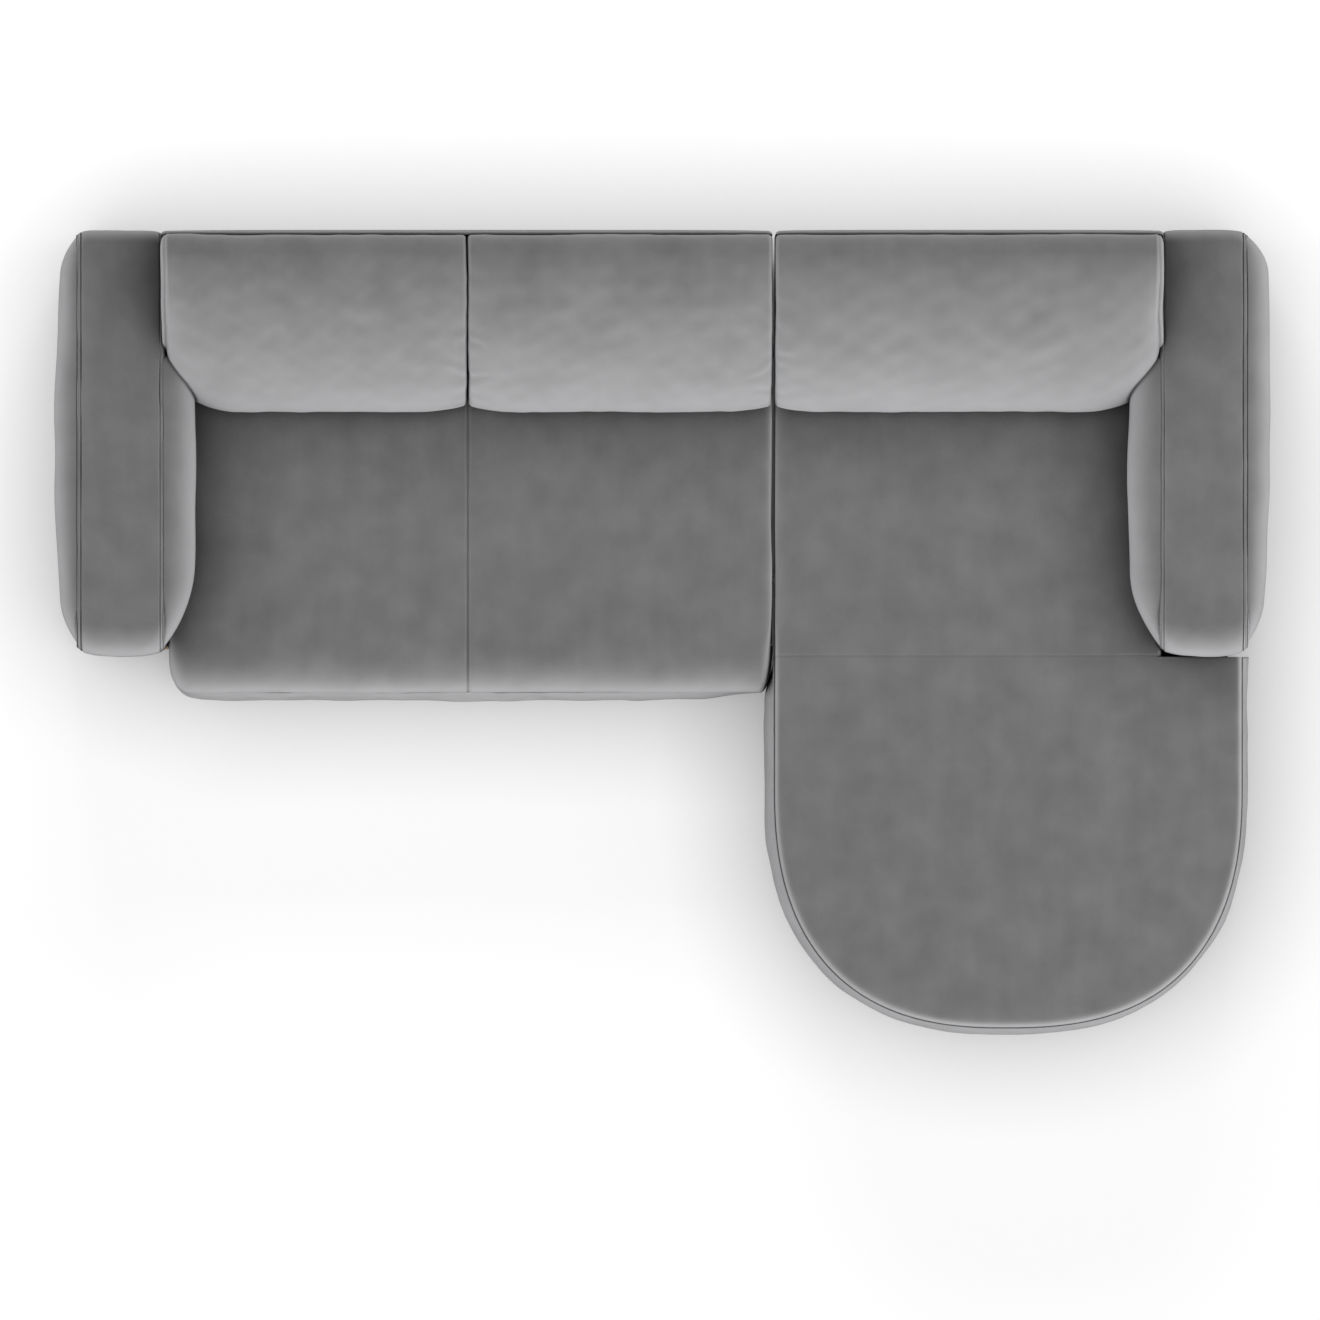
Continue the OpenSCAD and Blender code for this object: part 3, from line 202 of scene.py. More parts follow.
# Painted shade in thin seams: a short-reach occlusion darkens the colour and the sheen there too
PAINTED_SEAM_SHADE_REACH = 0.010
PAINTED_SEAM_SHADE_POWER = 2.0
SHEEN_LOW = 0.985
SHEEN_SPREAD = 0.22
SHEEN_BLEND = 0.83  # how far from the rim the pile starts to brighten
RIM_LOSS = 0.6  # share of the sheen that is lost where the cloth is seen edge-on
RIM_BLEND = 0.5
RIM_POWER = 4.0
VELVET_SURFACE = {"Roughness": 0.85, "Sheen Roughness": 1.0, "Sheen Tint": (0.95, 0.95, 0.97, 1.0),
                  "Specular IOR Level": 0.15}

# The other slots: group name, dark and light colour, scale, stretch, relief, surface
OTHER_SLOTS = {
    "timber": ("Softwood", (0.60, 0.40, 0.21), (0.74, 0.55, 0.33), 12.0, (0.3, 6.0, 6.0), 0.0004,
               {"Roughness": 0.7}),
    "plywood": ("Plywood", (0.48, 0.32, 0.17), (0.66, 0.47, 0.28), 10.0, (5.0, 1.0, 0.4), 0.0004,
                {"Roughness": 0.65}),
    "foam": ("Foam", (0.72, 0.64, 0.40), (0.85, 0.79, 0.58), 220.0, (1.0, 1.0, 1.0), 0.0008,
             {"Roughness": 0.95}),
    "felt": ("Felt", (0.10, 0.10, 0.105), (0.34, 0.33, 0.34), 160.0, (1.0, 1.0, 1.0), 0.001,
             {"Roughness": 1.0}),
    "webbing": ("Webbing", (0.02, 0.02, 0.022), (0.11, 0.11, 0.115), 90.0, (8.0, 1.0, 1.0), 0.0004,
                {"Roughness": 0.75}),
    "lining": ("Lining", (0.018, 0.018, 0.02), (0.05, 0.05, 0.052), 300.0, (1.0, 1.0, 1.0), 0.0004,
               {"Roughness": 0.9}),
    "steel": ("Zinc", (0.50, 0.51, 0.52), (0.68, 0.69, 0.70), 60.0, (1.0, 1.0, 1.0), 0.0001,
              {"Roughness": 0.38, "Metallic": 1.0}),
    "foot_plastic": ("Moulded plastic", (0.02, 0.02, 0.021), (0.032, 0.032, 0.034), 400.0,
                     (1.0, 1.0, 1.0), 0.0001, {"Roughness": 0.45}),
}
SPECKLE_DETAIL = 4.0
SPECKLE_AT = (0.3, 0.7)
SPECKLE_BUMP = 0.5

# The camera looks straight down through a very long lens
CAMERA_AT = (-0.005, -0.063, 80.0)
SENSOR_WIDTH = 36.0  # millimetres
FRAME_WIDTH = 3.095  # width shown at the height of the arms' fullest line
FRAME_HEIGHT_AT = 0.4  # that height
CLIP = (1.0, 300.0)

# The floor, the surround and the lights
FLOOR_SURFACE = {"Base Color": (0.45, 0.45, 0.45, 1.0), "Roughness": 0.9, "Specular IOR Level": 0.0,
                 "Emission Color": (1.0, 1.0, 1.0, 1.0)}
FLOOR_REACH = 25.0
FLOOR_SHADOW = 0.28  # how far from the sofa its soft shadow reaches
FLOOR_LIFT = 0.60  # how much brighter the camera sees the open floor
FLOOR_OPEN = 0.22  # share of that lift that the floor keeps right beside the sofa
FLOOR_UNDER = 5.0  # the lift fades where less than 1 / this of the floor is open
SKY_LOW = 0.26
SKY_TOP = 1.55
SKY_LEAST = 0.05
SKY_REAR_LOSS = 1.4
SKY_FRONT_LOSS = 0.8
SKY_FRONT_POWER = 4.0
KEY_LIGHT = ((4.5, -2.5, 4.5), (0.0, 0.0, 0.3), (4.0, 4.0), 62.0)  # place, target, size and power
FLOOR_LIGHT = ((0.0, 7.0, 4.2), (0.0, 0.0, 0.0), (5.0, 3.0), 380.0)


def box(node):
    """Lowest and highest corner of a CAD node."""
    low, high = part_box(node)
    return np.array(low), np.array(high)


def clamp(t):
    """t held between 0 and 1."""
    return np.clip(t, 0.0, 1.0)


def smooth(t):
    """A soft step from 0 at t = 0 to 1 at t = 1."""
    t = clamp(t)
    return t * t * (3.0 - 2.0 * t)


def quarter(t):
    """1 at t = 0, falling to 0 at t = 1 as a quarter circle."""
    return 1.0 - np.sqrt(1.0 - (1.0 - clamp(t)) ** 2)


def crown(t, power):
    """1 at t = 0, falling to 0 at t = -1 and 1; the higher the power, the squarer."""
    return np.sqrt(np.clip(1.0 - np.abs(t) ** power, 0.0, None))


def bell(d, width):
    """A bell curve of height 1."""
    return np.exp(-((d / width) ** 2))


def arc(centre, radii, start, stop, count):
    """Points on an elliptical arc, angles in degrees; centre and radii may be arrays."""
    a = np.radians(np.linspace(start, stop, count))
    y = np.asarray(centre[0])[..., None] + np.asarray(radii[0])[..., None] * np.cos(a)
    z = np.asarray(centre[1])[..., None] + np.asarray(radii[1])[..., None] * np.sin(a)
    return np.stack(np.broadcast_arrays(y, z), -1)


def bow(centre, radii, start, stop, count, power):
    """An arc that is fuller or straighter than an ellipse; a power of 2 gives the ellipse."""
    unit = arc((0.0, 0.0), (1.0, 1.0), start, stop, count)
    unit = np.sign(unit) * np.abs(unit) ** (2.0 / power)
    parts = [np.asarray(c)[..., None] + np.asarray(r)[..., None] * unit[:, k]
             for k, (c, r) in enumerate(zip(centre, radii))]
    return np.stack(np.broadcast_arrays(*parts), -1)


def line(start, stop, count):
    """Points from start to stop, each a pair of arrays, without the last one."""
    t = np.linspace(0.0, 1.0, count, endpoint=False)
    parts = []
    for a, b in zip(start, stop):
        a, b = np.asarray(a, float)[..., None], np.asarray(b, float)[..., None]
        parts.append(a + (b - a) * t)
    return np.stack(np.broadcast_arrays(*parts), -1)


def end_steps(length, count):
    """Distances from an end, closer together near it."""
    return length * np.linspace(0.0, 1.0, count) ** END_POWER


def between(start, stop, count):
    """Even places from start to stop, without both."""
    return np.linspace(start, stop, count)[1:-1]


def places_with_ends(low, high, length, end_count, count):
    """Places from low to high, closer together within a length of both."""
    end = end_steps(length, end_count)
    return np.concatenate([low + end, between(low + length, high - length, count), (high - end)[::-1]])


def ripple(points, size, seed):
    """Smooth noise from about -1 to 1 with waves of the given size."""
    count = 20
    rng = np.random.default_rng(seed)
    waves = rng.normal(size=(count, 3))
    lengths = np.linalg.norm(waves, axis=1)
    waves *= (2.0 * np.pi / size / lengths * rng.uniform(0.6, 1.5, count))[:, None]
    phases = rng.uniform(0.0, 2.0 * np.pi, count)
    return np.cos(points @ waves.T + phases).sum(-1) * math.sqrt(2.0 / count) * 0.6


def waviness(grid, waves, seed):
    """How far each point is moved by waves in the cloth, each (length, depth)."""
    return sum(depth * ripple(grid, size, seed + i) for i, (size, depth) in enumerate(waves))


def normals_of(grid):
    """Unit normals of a grid of closed rings."""
    along = np.gradient(grid, axis=0)
    around = (np.roll(grid, -1, 1) - np.roll(grid, 1, 1)) / 2.0
    n = np.cross(around, along)
    return n / np.maximum(np.linalg.norm(n, axis=-1, keepdims=True), 1e-12)


def soften(grid, seed, waves):
    """Moves a grid of closed rings in and out a little along its normals, as stuffed cloth lies."""
    return grid + normals_of(grid) * waviness(grid, waves, seed)[..., None]


def volume_of(points, groups):
    """The volume inside a closed mesh, negative if its faces look inwards."""
    volume = 0.0
    for faces in groups:
        for k in range(1, faces.shape[1] - 1):
            a, b, c = (points[faces[:, i]] for i in (0, k, k + 1))
            volume += (np.cross(a, b) * c).sum() / 6.0
    return volume


def skin(name, grid, body, slot):
    """A closed mesh over rings, with a fan over each end and its faces outwards."""
    rings, around = grid.shape[:2]
    points = np.concatenate([grid.reshape(-1, 3), [grid[0].mean(0)], [grid[-1].mean(0)]])
    row = around * np.arange(rings)[:, None]
    here = row + np.arange(around)
    beside = row + np.roll(np.arange(around), -1)
    quads = np.stack([here[:-1], here[1:], beside[1:], beside[:-1]], -1).reshape(-1, 4)
    first = np.stack([np.full(around, rings * around), here[0], beside[0]], -1)
    last = np.stack([np.full(around, rings * around + 1), beside[-1], here[-1]], -1)
    groups = [quads, first, last]
    if volume_of(points, groups) < 0.0:
        groups = [faces[:, ::-1] for faces in groups]
    faces = [face for group in groups for face in group.tolist()]
    mesh = bpy.data.meshes.new(name)
    mesh.from_pydata(points.tolist(), [], faces)
    mesh.polygons.foreach_set("use_smooth", np.ones(len(faces), bool))
    mesh.update()
    piece = bpy.data.objects.new(name, mesh)
    bpy.context.scene.collection.objects.link(piece)
    mesh.materials.append(MATERIALS[slot])
    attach(piece, body)
    return piece


def upholster(name, grid, node):
    """A velvet piece that stands for a padded CAD node."""
    piece = skin(name, grid, NODES[node]["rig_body"], "velvet")
    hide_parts(node)
    return piece


def closing(ring, depths, outward=None):
    """Rings that close an end: shares of the way to its middle, and how far out each stands."""
    middle = ring.mean(0)
    outward = outward or [(0.0, 0.0, 0.0)] * len(depths)
    return np.stack([middle + (1.0 - f) * (ring - middle) + np.array(o) for f, o in zip(depths, outward)])


def side_closing(ring, direction, bulge):
    """Closes an end across X with a side panel that bulges out past its seam."""
    depths = np.array([0.006, 0.02, 0.045, 0.08, 0.13, 0.2, 0.35, 0.55, 0.8, 0.97])
    out = bulge * np.sqrt(1.0 - (1.0 - clamp(depths / SIDE_ROUND)) ** 2)
    return closing(ring, depths, [(direction * o, 0.0, 0.0) for o in out])


def close_sides(grid, left_bulge, right_bulge):
    """A grid laid along X with both its ends closed."""
    return np.concatenate([side_closing(grid[0], -1.0, left_bulge)[::-1], grid,
                           side_closing(grid[-1], 1.0, right_bulge)])


def velvet_noise(tree, scale, detail, stretch=(1.0, 1.0, 1.0)):
    """A noise texture in object coordinates, stretched along the axes."""
    place = tree.nodes.new("ShaderNodeTexCoord")
    mapping = tree.nodes.new("ShaderNodeMapping")
    mapping.inputs["Scale"].default_value = stretch
    noise = tree.nodes.new("ShaderNodeTexNoise")
    noise.inputs["Scale"].default_value = scale
    noise.inputs["Detail"].default_value = detail
    tree.links.new(place.outputs["Object"], mapping.inputs["Vector"])
    tree.links.new(mapping.outputs["Vector"], noise.inputs["Vector"])
    return noise.outputs["Fac"]


def new_group(name, outputs):
    """A node group with the named outputs, each (name, socket type)."""
    tree = bpy.data.node_groups.new(name, "ShaderNodeTree")
    for label, kind in outputs:
        tree.interface.new_socket(label, in_out="OUTPUT", socket_type=kind)
    return tree, tree.nodes.new("NodeGroupOutput")


def math_node(tree, operation, a, b):
    """A math node over two values, each a socket or a number."""
    node = tree.nodes.new("ShaderNodeMath")
    node.operation = operation
    for socket, value in zip(node.inputs, (a, b)):
        if isinstance(value, (int, float)):
            socket.default_value = value
        else:
            tree.links.new(value, socket)
    return node.outputs[0]


def plus(tree, a, b):
    """A math node that adds two values."""
    return math_node(tree, "ADD", a, b)


def times(tree, a, b):
    """A math node that multiplies two values."""
    return math_node(tree, "MULTIPLY", a, b)


def mix_values(tree, a, b, share):
    """The value a with a share of b in it."""
    return plus(tree, times(tree, a, 1.0 - share), times(tree, b, share))


def ramp(tree, value, low, high, at):
    """Colours from low to high as value goes from one place to the other."""
    node = tree.nodes.new("ShaderNodeValToRGB")
    for stop, position, colour in zip(node.color_ramp.elements, at, (low, high)):
        stop.position, stop.color = position, (*colour, 1.0)
    tree.links.new(value, node.inputs["Fac"])
    return node.outputs["Color"]


def bump(tree, height, strength, distance, under=None):
    """A normal with the relief of a height, on top of the normal under it."""
    node = tree.nodes.new("ShaderNodeBump")
    node.inputs["Strength"].default_value = strength
    node.inputs["Distance"].default_value = distance
    tree.links.new(height, node.inputs["Height"])
    if under is not None:
        tree.links.new(under, node.inputs["Normal"])
    return node.outputs["Normal"]


def painted_crevice_shade(tree):
    """Painted shade: 1 on open cloth, falling where ambient occlusion finds wide crevices and thin seams;
    one factor darkens the colour, one weakens the sheen.
    """
    occlusion_by_reach = []
    for reach in (PAINTED_SHADE_REACH, PAINTED_SEAM_SHADE_REACH):
        node = tree.nodes.new("ShaderNodeAmbientOcclusion")
        node.samples = PAINTED_SHADE_SAMPLES
        node.inputs["Distance"].default_value = reach
        occlusion_by_reach.append(node.outputs["AO"])
    # painted shade in thin seams, from the short-reach occlusion
    seam = math_node(tree, "POWER", occlusion_by_reach[1], PAINTED_SEAM_SHADE_POWER)
    # each factor is the painted shade of a wide crevice times that of a seam
    return [times(tree, math_node(tree, "POWER", occlusion_by_reach[0], power), seam) for power in PAINTED_SHADE_POWERS]


def blend_colour(tree, factor, low, high):
    """The colour low where the factor is 0 and the socket high where it is 1."""
    node = tree.nodes.new("ShaderNodeMix")
    node.data_type = "RGBA"
    tree.links.new(factor, node.inputs[0])
    node.inputs[6].default_value = (*low, 1.0)
    tree.links.new(high, node.inputs[7])
    return node.outputs[2]


def pile_group():
    """Short-pile velvet: brushed clouds, faint streaks and a fine grain, with painted shade that darkens
    its colour and weakens its sheen in crevices and seams.
    """
    tree, out = new_group("Velvet pile", [("Color", "NodeSocketColor"), ("Sheen", "NodeSocketFloat"),
                                          ("Normal", "NodeSocketVector")])
    clouds = velvet_noise(tree, *CLOUDS)
    streaks = velvet_noise(tree, *STREAKS)
    grain = velvet_noise(tree, *GRAIN)
    brushed = mix_values(tree, clouds, streaks, STREAK_SHARE)
    # painted shade from ambient occlusion: one factor for the colour, one for the sheen
    painted_shade_on_colour, painted_shade_on_sheen = painted_crevice_shade(tree)
    tone = mix_values(tree, brushed, grain, GRAIN_SHARE)
    cloth = ramp(tree, tone, VELVET_DARK, VELVET_LIGHT, VELVET_AT)
    # painted shade: the colour darkens towards near-black in crevices and seams
    tree.links.new(blend_colour(tree, painted_shade_on_colour, VELVET_PAINTED_SHADE, cloth), out.inputs["Color"])
    sheen = plus(tree, times(tree, brushed, SHEEN_SPREAD), SHEEN_LOW)
    # painted shade also weakens the sheen in crevices and seams
    tree.links.new(times(tree, sheen, painted_shade_on_sheen), out.inputs["Sheen"])
    soft = bump(tree, brushed, *SOFT_BUMP)
    tree.links.new(bump(tree, grain, *GRAIN_BUMP, soft), out.inputs["Normal"])
    return tree


def speckle_group(name, low, high, scale, stretch, depth):
    """A plain mottled surface with a matching relief."""
    tree, out = new_group(name, [("Color", "NodeSocketColor"), ("Normal", "NodeSocketVector")])
    value = velvet_noise(tree, scale, SPECKLE_DETAIL, stretch)
    tree.links.new(ramp(tree, value, low, high, SPECKLE_AT), out.inputs["Color"])
    tree.links.new(bump(tree, value, SPECKLE_BUMP, depth), out.inputs["Normal"])
    return tree


def facing(tree, blend, normal):
    """0 where the surface faces the eye, 1 where it is seen edge-on."""
    node = tree.nodes.new("ShaderNodeLayerWeight")
    node.inputs["Blend"].default_value = blend
    tree.links.new(normal, node.inputs["Normal"])
    return node.outputs["Facing"]


def add_sheen(tree, group, shader):
    """The pile's sheen: stronger towards the rim, and weaker again right at it."""
    slope = facing(tree, SHEEN_BLEND, group.outputs["Normal"])
    rim = facing(tree, RIM_BLEND, group.outputs["Normal"])
    loss = times(tree, math_node(tree, "POWER", rim, RIM_POWER), RIM_LOSS)
    weight = times(tree, slope, group.outputs["Sheen"])
    kept = math_node(tree, "SUBTRACT", 1.0, loss)
    tree.links.new(times(tree, weight, kept), shader.inputs["Sheen Weight"])


def principled(name, values):
    """A material with the given values, its node tree and its shader."""
    material = bpy.data.materials.new(name)
    material.use_nodes = True
    shader = material.node_tree.nodes["Principled BSDF"]
    for label, value in values.items():
        shader.inputs[label].default_value = value
    return material, material.node_tree, shader


def surface(slot, group, values):
    """A material whose colour and normal come from a node group."""
    material, tree, shader = principled(slot, values)
    node = tree.nodes.new("ShaderNodeGroup")
    node.node_tree = group
    tree.links.new(node.outputs["Color"], shader.inputs["Base Color"])
    tree.links.new(node.outputs["Normal"], shader.inputs["Normal"])
    if "Sheen" in node.outputs:
        add_sheen(tree, node, shader)
    return material


def make_materials():
    """One material for each slot of the record."""
    materials = {"velvet": surface("velvet", pile_group(), VELVET_SURFACE)}
    for slot, (*look, values) in OTHER_SLOTS.items():
        materials[slot] = surface(slot, speckle_group(*look), values)
    return materials


def dress_frame():
    """Gives each CAD node the material of its slot."""
    for part in frame["record"]["subparts"]:
        mesh = NODES[part["node"]].data
        mesh.materials.clear()
        mesh.materials.append(MATERIALS[part["material_slot"]])


def lay_section(x, section):
    """Rings in Y and Z set at the places x."""
    xs = np.broadcast_to(np.asarray(x)[:, None, None], (*section.shape[:2], 1))
    return np.concatenate([xs, section], -1)


def back_section(low, high, set_back, drop, inset):
    """Sections of a back cushion: rear wall, crest, the long front curve, and the underside."""
    rear = high[1] - inset
    bottom = np.full_like(rear, low[2])
    crest_y = np.full_like(rear, high[1] - CREST_IN)
    front = low[1] + set_back + inset
    shoulder = high[2] - CREST_DROP - drop - inset
    belly = np.full_like(rear, low[2] + BELLY_H)
    foot = front + BACK_TUCK
    t = np.linspace(0.0, 1.0, 16)[1:]
    tuck = np.stack([front[:, None] + BACK_TUCK * t ** 2, belly[:, None] - BELLY_H * t], -1)
    return np.concatenate([
        line((rear, bottom), (rear, shoulder), 12),
        arc((crest_y, shoulder), (rear - crest_y, np.full_like(rear, CREST_DROP)), 0, 88, 16),
        bow((crest_y, belly), (crest_y - front, high[2] - drop - inset - belly), 91, 180, 90, BACK_POWER),
        tuck,
        line((foot, bottom), (rear, bottom), 12)[:, 1:],
    ], 1)


def back_cushion(node, left_outer, right_outer):
    """A tight back cushion: rounded and panelled beside an arm, drawn in where it meets another."""
    low, high = box(node)
    length, end_depth = BACK_END
    pinch_length, pinch_depth, pinch_drop = BACK_PINCH
    seam_left = low[0] + (SIDE_CROWN if left_outer else JOINT_IN)
    seam_right = high[0] - (SIDE_CROWN if right_outer else JOINT_IN)
    x = places_with_ends(seam_left, seam_right, length, 46, 60)
    set_back, drop, inset = np.zeros_like(x), np.zeros_like(x), np.zeros_like(x)
    for outer, d in ((left_outer, x - seam_left), (right_outer, seam_right - x)):
        if outer:
            near = quarter(d / length)
            set_back += end_depth * near
            inset += sum(depth * bell(d - place, width) for depth, place, width in SIDE_SEAM)
        else:
            near = (1.0 - clamp(d / pinch_length)) ** PINCH_POWER
            set_back += pinch_depth * near
            inset += JOINT_EDGE[1] * quarter(d / JOINT_EDGE[0])
        drop += pinch_drop * near
    grid = lay_section(x, back_section(low, high, set_back, drop, inset))
    depth, reach, closeness = PUCKER
    wander, wander_size = PUCKER_TURN
    pucker = bell(x - seam_left, reach) * (not left_outer) + bell(seam_right - x, reach) * (not right_outer)
    phase = grid[..., 2] * closeness + ripple(grid, wander_size, SEEDS["pucker"]) * wander
    grid[..., 1] -= pucker[:, None] * depth * np.sin(phase)
    grid = soften(grid, SEEDS["back"] + int(1000 * abs(low[0])) % 7, BACK_WAVES)
    crowns = [SIDE_CROWN if outer else JOINT_CROWN for outer in (left_outer, right_outer)]
    upholster("cushion_" + node, close_sides(grid, *crowns), node)


def seat_section(low, high, set_back, drop, inset):
    """Sections of the two-seater's cover: rear wall, flat top, rounded front edge, underside."""
    rear = np.full_like(set_back, high[1])
    bottom = np.full_like(set_back, low[2])
    top = high[2] - drop - inset
    front = low[1] + set_back + inset
    roll_y = front + SEAT_ROLL
    return np.concatenate([
        line((rear, bottom), (rear, top), 6),
        line((rear, top), (roll_y, top), 50),
        bow((roll_y, bottom), (roll_y - front, top - bottom), 90, 180, 60, ROLL_POWER),
        line((front, bottom), (rear, bottom), 12)[:, 1:],
    ], 1)


def stitched_seam(d, half, depth):
    """A seam drawn in between two rows of stitches: depth below the surface at distance d."""
    seam_width, row_width, row_share = SEAM_SPREAD
    rows = bell(d - half, half * row_width) + bell(d + half, half * row_width)
    return depth * (bell(d, half * seam_width) + row_share * rows)


def corner_back(d, corner):
    """How far the front edge lies back at the distance d from the end of a rounded corner."""
    along, deep, power = corner
    return deep * (1.0 - (1.0 - (1.0 - clamp(d / along)) ** power) ** (1.0 / power))


def seat_top():
    """The two-seater's seat, with a stitched seam between its two places."""
    low, high = box("seat_cover")
    joint = box("back_cover_left")[1][0]
    left, right = SEAT_CORNERS[0][0], SEAT_CORNERS[1][0]
    x = np.concatenate([
        low[0] + end_steps(left, 40),
        between(low[0] + left, joint - SEAM_NEAR, 60),
        joint + np.linspace(-SEAM_NEAR, SEAM_NEAR, 41),
        between(joint + SEAM_NEAR, high[0] - right, 60),
        (high[0] - end_steps(right, 40))[::-1],
    ])
    set_back = corner_back(x - low[0], SEAT_CORNERS[0]) + corner_back(high[0] - x, SEAT_CORNERS[1])
    drop = SEAT_END_DROP * (quarter((x - low[0]) / left) + quarter((high[0] - x) / right))
    grid = lay_section(x, seat_section(low, high, set_back, drop, stitched_seam(x - joint, *SEAT_SEAM)))
    grid = soften(grid, SEEDS["seat"], SEAT_WAVES)
    upholster("seat_top", close_sides(grid, END_CROWN, END_CROWN), "seat_cover")


def path_normals(path):
    """Outward normals of a plan path that runs anticlockwise round the seat."""
    d = np.gradient(path, axis=0)
    n = np.stack([d[:, 1], -d[:, 0]], -1)
    return n / np.linalg.norm(n, axis=1, keepdims=True)


def even_steps(points, count=None):
    """The same path with its points an even step apart; without a count, it is PATH_STEP."""
    steps = np.linalg.norm(np.diff(points[:, :2], axis=0), axis=1)
    run = np.concatenate([[0.0], np.cumsum(steps)])
    places = np.linspace(0.0, run[-1], count or int(run[-1] / PATH_STEP))
    return np.stack([np.interp(places, run, points[:, k]) for k in range(points.shape[1])], -1)


def sweep(path, offsets, heights):
    """Rings of a section with an offset and height at each place, laid along a plan path."""
    n = path_normals(path)
    flat = path[:, None, :] + n[:, None, :] * offsets[..., None]
    return np.concatenate([flat, np.broadcast_to(heights, offsets.shape)[..., None]], -1)


def seat_path():
    """Plan of the two-seater's front at its seam, and how fully the border bulges along it."""
    low, high = box("seat_cover")
    right_x = box("seat_front_border")[1][0]
    corners = []
    for end, side, corner in ((low[0], 1.0, SEAT_CORNERS[0]), (right_x, -1.0, SEAT_CORNERS[1])):
        d = corner[0] * np.linspace(0.0, 1.0, 60) ** 2.5
        corners.append(np.stack([end + side * d, low[1] + corner_back(d, corner)], -1))
    path = even_steps(np.concatenate([[(low[0], high[1])], corners[0], corners[1][::-1]]))
    beside_arm = smooth((path[:, 1] - low[1] - SEAT_CORNERS[0][1]) / BESIDE_ARM[0])
    least = BORDER_LEAST * beside_arm * (path[:, 0] < low[0] + BESIDE_ARM[1])
    share = (np.maximum(smooth((path[:, 0] - low[0]) / BORDER_FADE[0]), least)
             * smooth((right_x - BORDER_END - path[:, 0]) / BORDER_FADE[1]))
    return path, share


def puffed_border(name, node, path, share, bulge, seed, gathers):
    """A padded border strip that bulges out between its top seam and its hem."""
    low, high = box(node)
    t = np.concatenate([[0.0, 0.0], np.linspace(0.0, 1.0, 46), [1.0, 1.0]])
    out = 1.0 - np.abs(2.0 * t - 1.0) ** BORDER_POWER
    offsets = bulge * share[:, None] * out[None, :]
    offsets[:, [0, -1]] = -BORDER_T
    offsets[:, [1, -2]] = -BORDER_T * BORDER_HEM
    heights = high[2] + (low[2] - high[2]) * t
    grid = sweep(path, offsets, heights)
    width, upright, reach = GATHER_SIZE
    gathered = ripple(grid * np.array([1.0, 1.0, upright]), width, seed)
    gathered = gathered * bell(heights - high[2], reach)[None, :] * gathers
    grid[..., :2] += path_normals(path)[:, None, :] * gathered[..., None]
    upholster(name, soften(grid, seed, BORDER_WAVES), node)


def seat_border():
    """The padded border below the two-seater's seat, round its front and its left side."""
    path, share = seat_path()
    puffed_border("seat_border", "seat_front_border", path, share, SEAT_BULGE,
                  SEEDS["seat border"], SEAT_GATHERS)


def chaise_shift(path):
    """How far the chaise's seam stands out past its cover's box, towards the right and the front."""
    low, high = box("chaise_front_cover")
    to_right = smooth((path[:, 0] - (low[0] + high[0]) / 2.0) / CHAISE_OUT_BLEND)
    to_front = smooth((low[1] + CHAISE_CURVE - path[:, 1]) / CHAISE_CURVE)
    return np.stack([CHAISE_OUT[0] * to_right, -CHAISE_OUT[1] * to_front], -1)


def chaise_path():
    """Plan of the chaise's front at its welt, from the left end round to the right end."""
    low, high = box("chaise_front_cover")
    half, middle = (high[0] - low[0]) / 2.0, (high[0] + low[0]) / 2.0
    a = np.linspace(np.pi, 2.0 * np.pi, 400)
    across, ahead = np.cos(a), np.abs(np.sin(a)) ** (2.0 / CHAISE_POWER)
    across = np.sign(across) * np.abs(across) ** (2.0 / CHAISE_POWER)
    front = np.stack([middle + half * across, low[1] + CHAISE_CURVE - CHAISE_CURVE * ahead], -1)
    full = np.concatenate([[(low[0], high[1])], front, [(high[0], high[1])]])
    return even_steps(full + chaise_shift(full))


def chaise_border():
    """The padded border below the chaise's welt; it bulges less where the seam stands out further."""
    path = chaise_path()
    left = path[:, 0] < path[:, 0].mean()
    share = np.where(left, smooth((path[0, 1] - path[:, 1]) / CHAISE_BORDER_FADE), 1.0)
    share = share - (chaise_shift(path) * path_normals(path)).sum(-1) / CHAISE_BULGE
    puffed_border("chaise_border_soft", "chaise_border", path, share, CHAISE_BULGE,
                  SEEDS["chaise border"], CHAISE_GATHERS)


def chaise_welt():
    """The piping round the chaise's top, its flange left out of sight in the seam."""
    low, high = box("chaise_welt")
    path = chaise_path()
    a = np.radians(np.linspace(0.0, 360.0, 14, endpoint=False))
    along = np.concatenate([path, path[:, :1]], -1)
    radii = WELT_R * (1.0 + WELT_WAVE[0] * ripple(along, WELT_WAVE[1], SEEDS["welt"]))[:, None]
    grid = sweep(path, radii * np.cos(a)[None, :], (low[2] + high[2]) / 2.0 + radii * np.sin(a)[None, :])
    upholster("chaise_piping", grid, "chaise_welt")


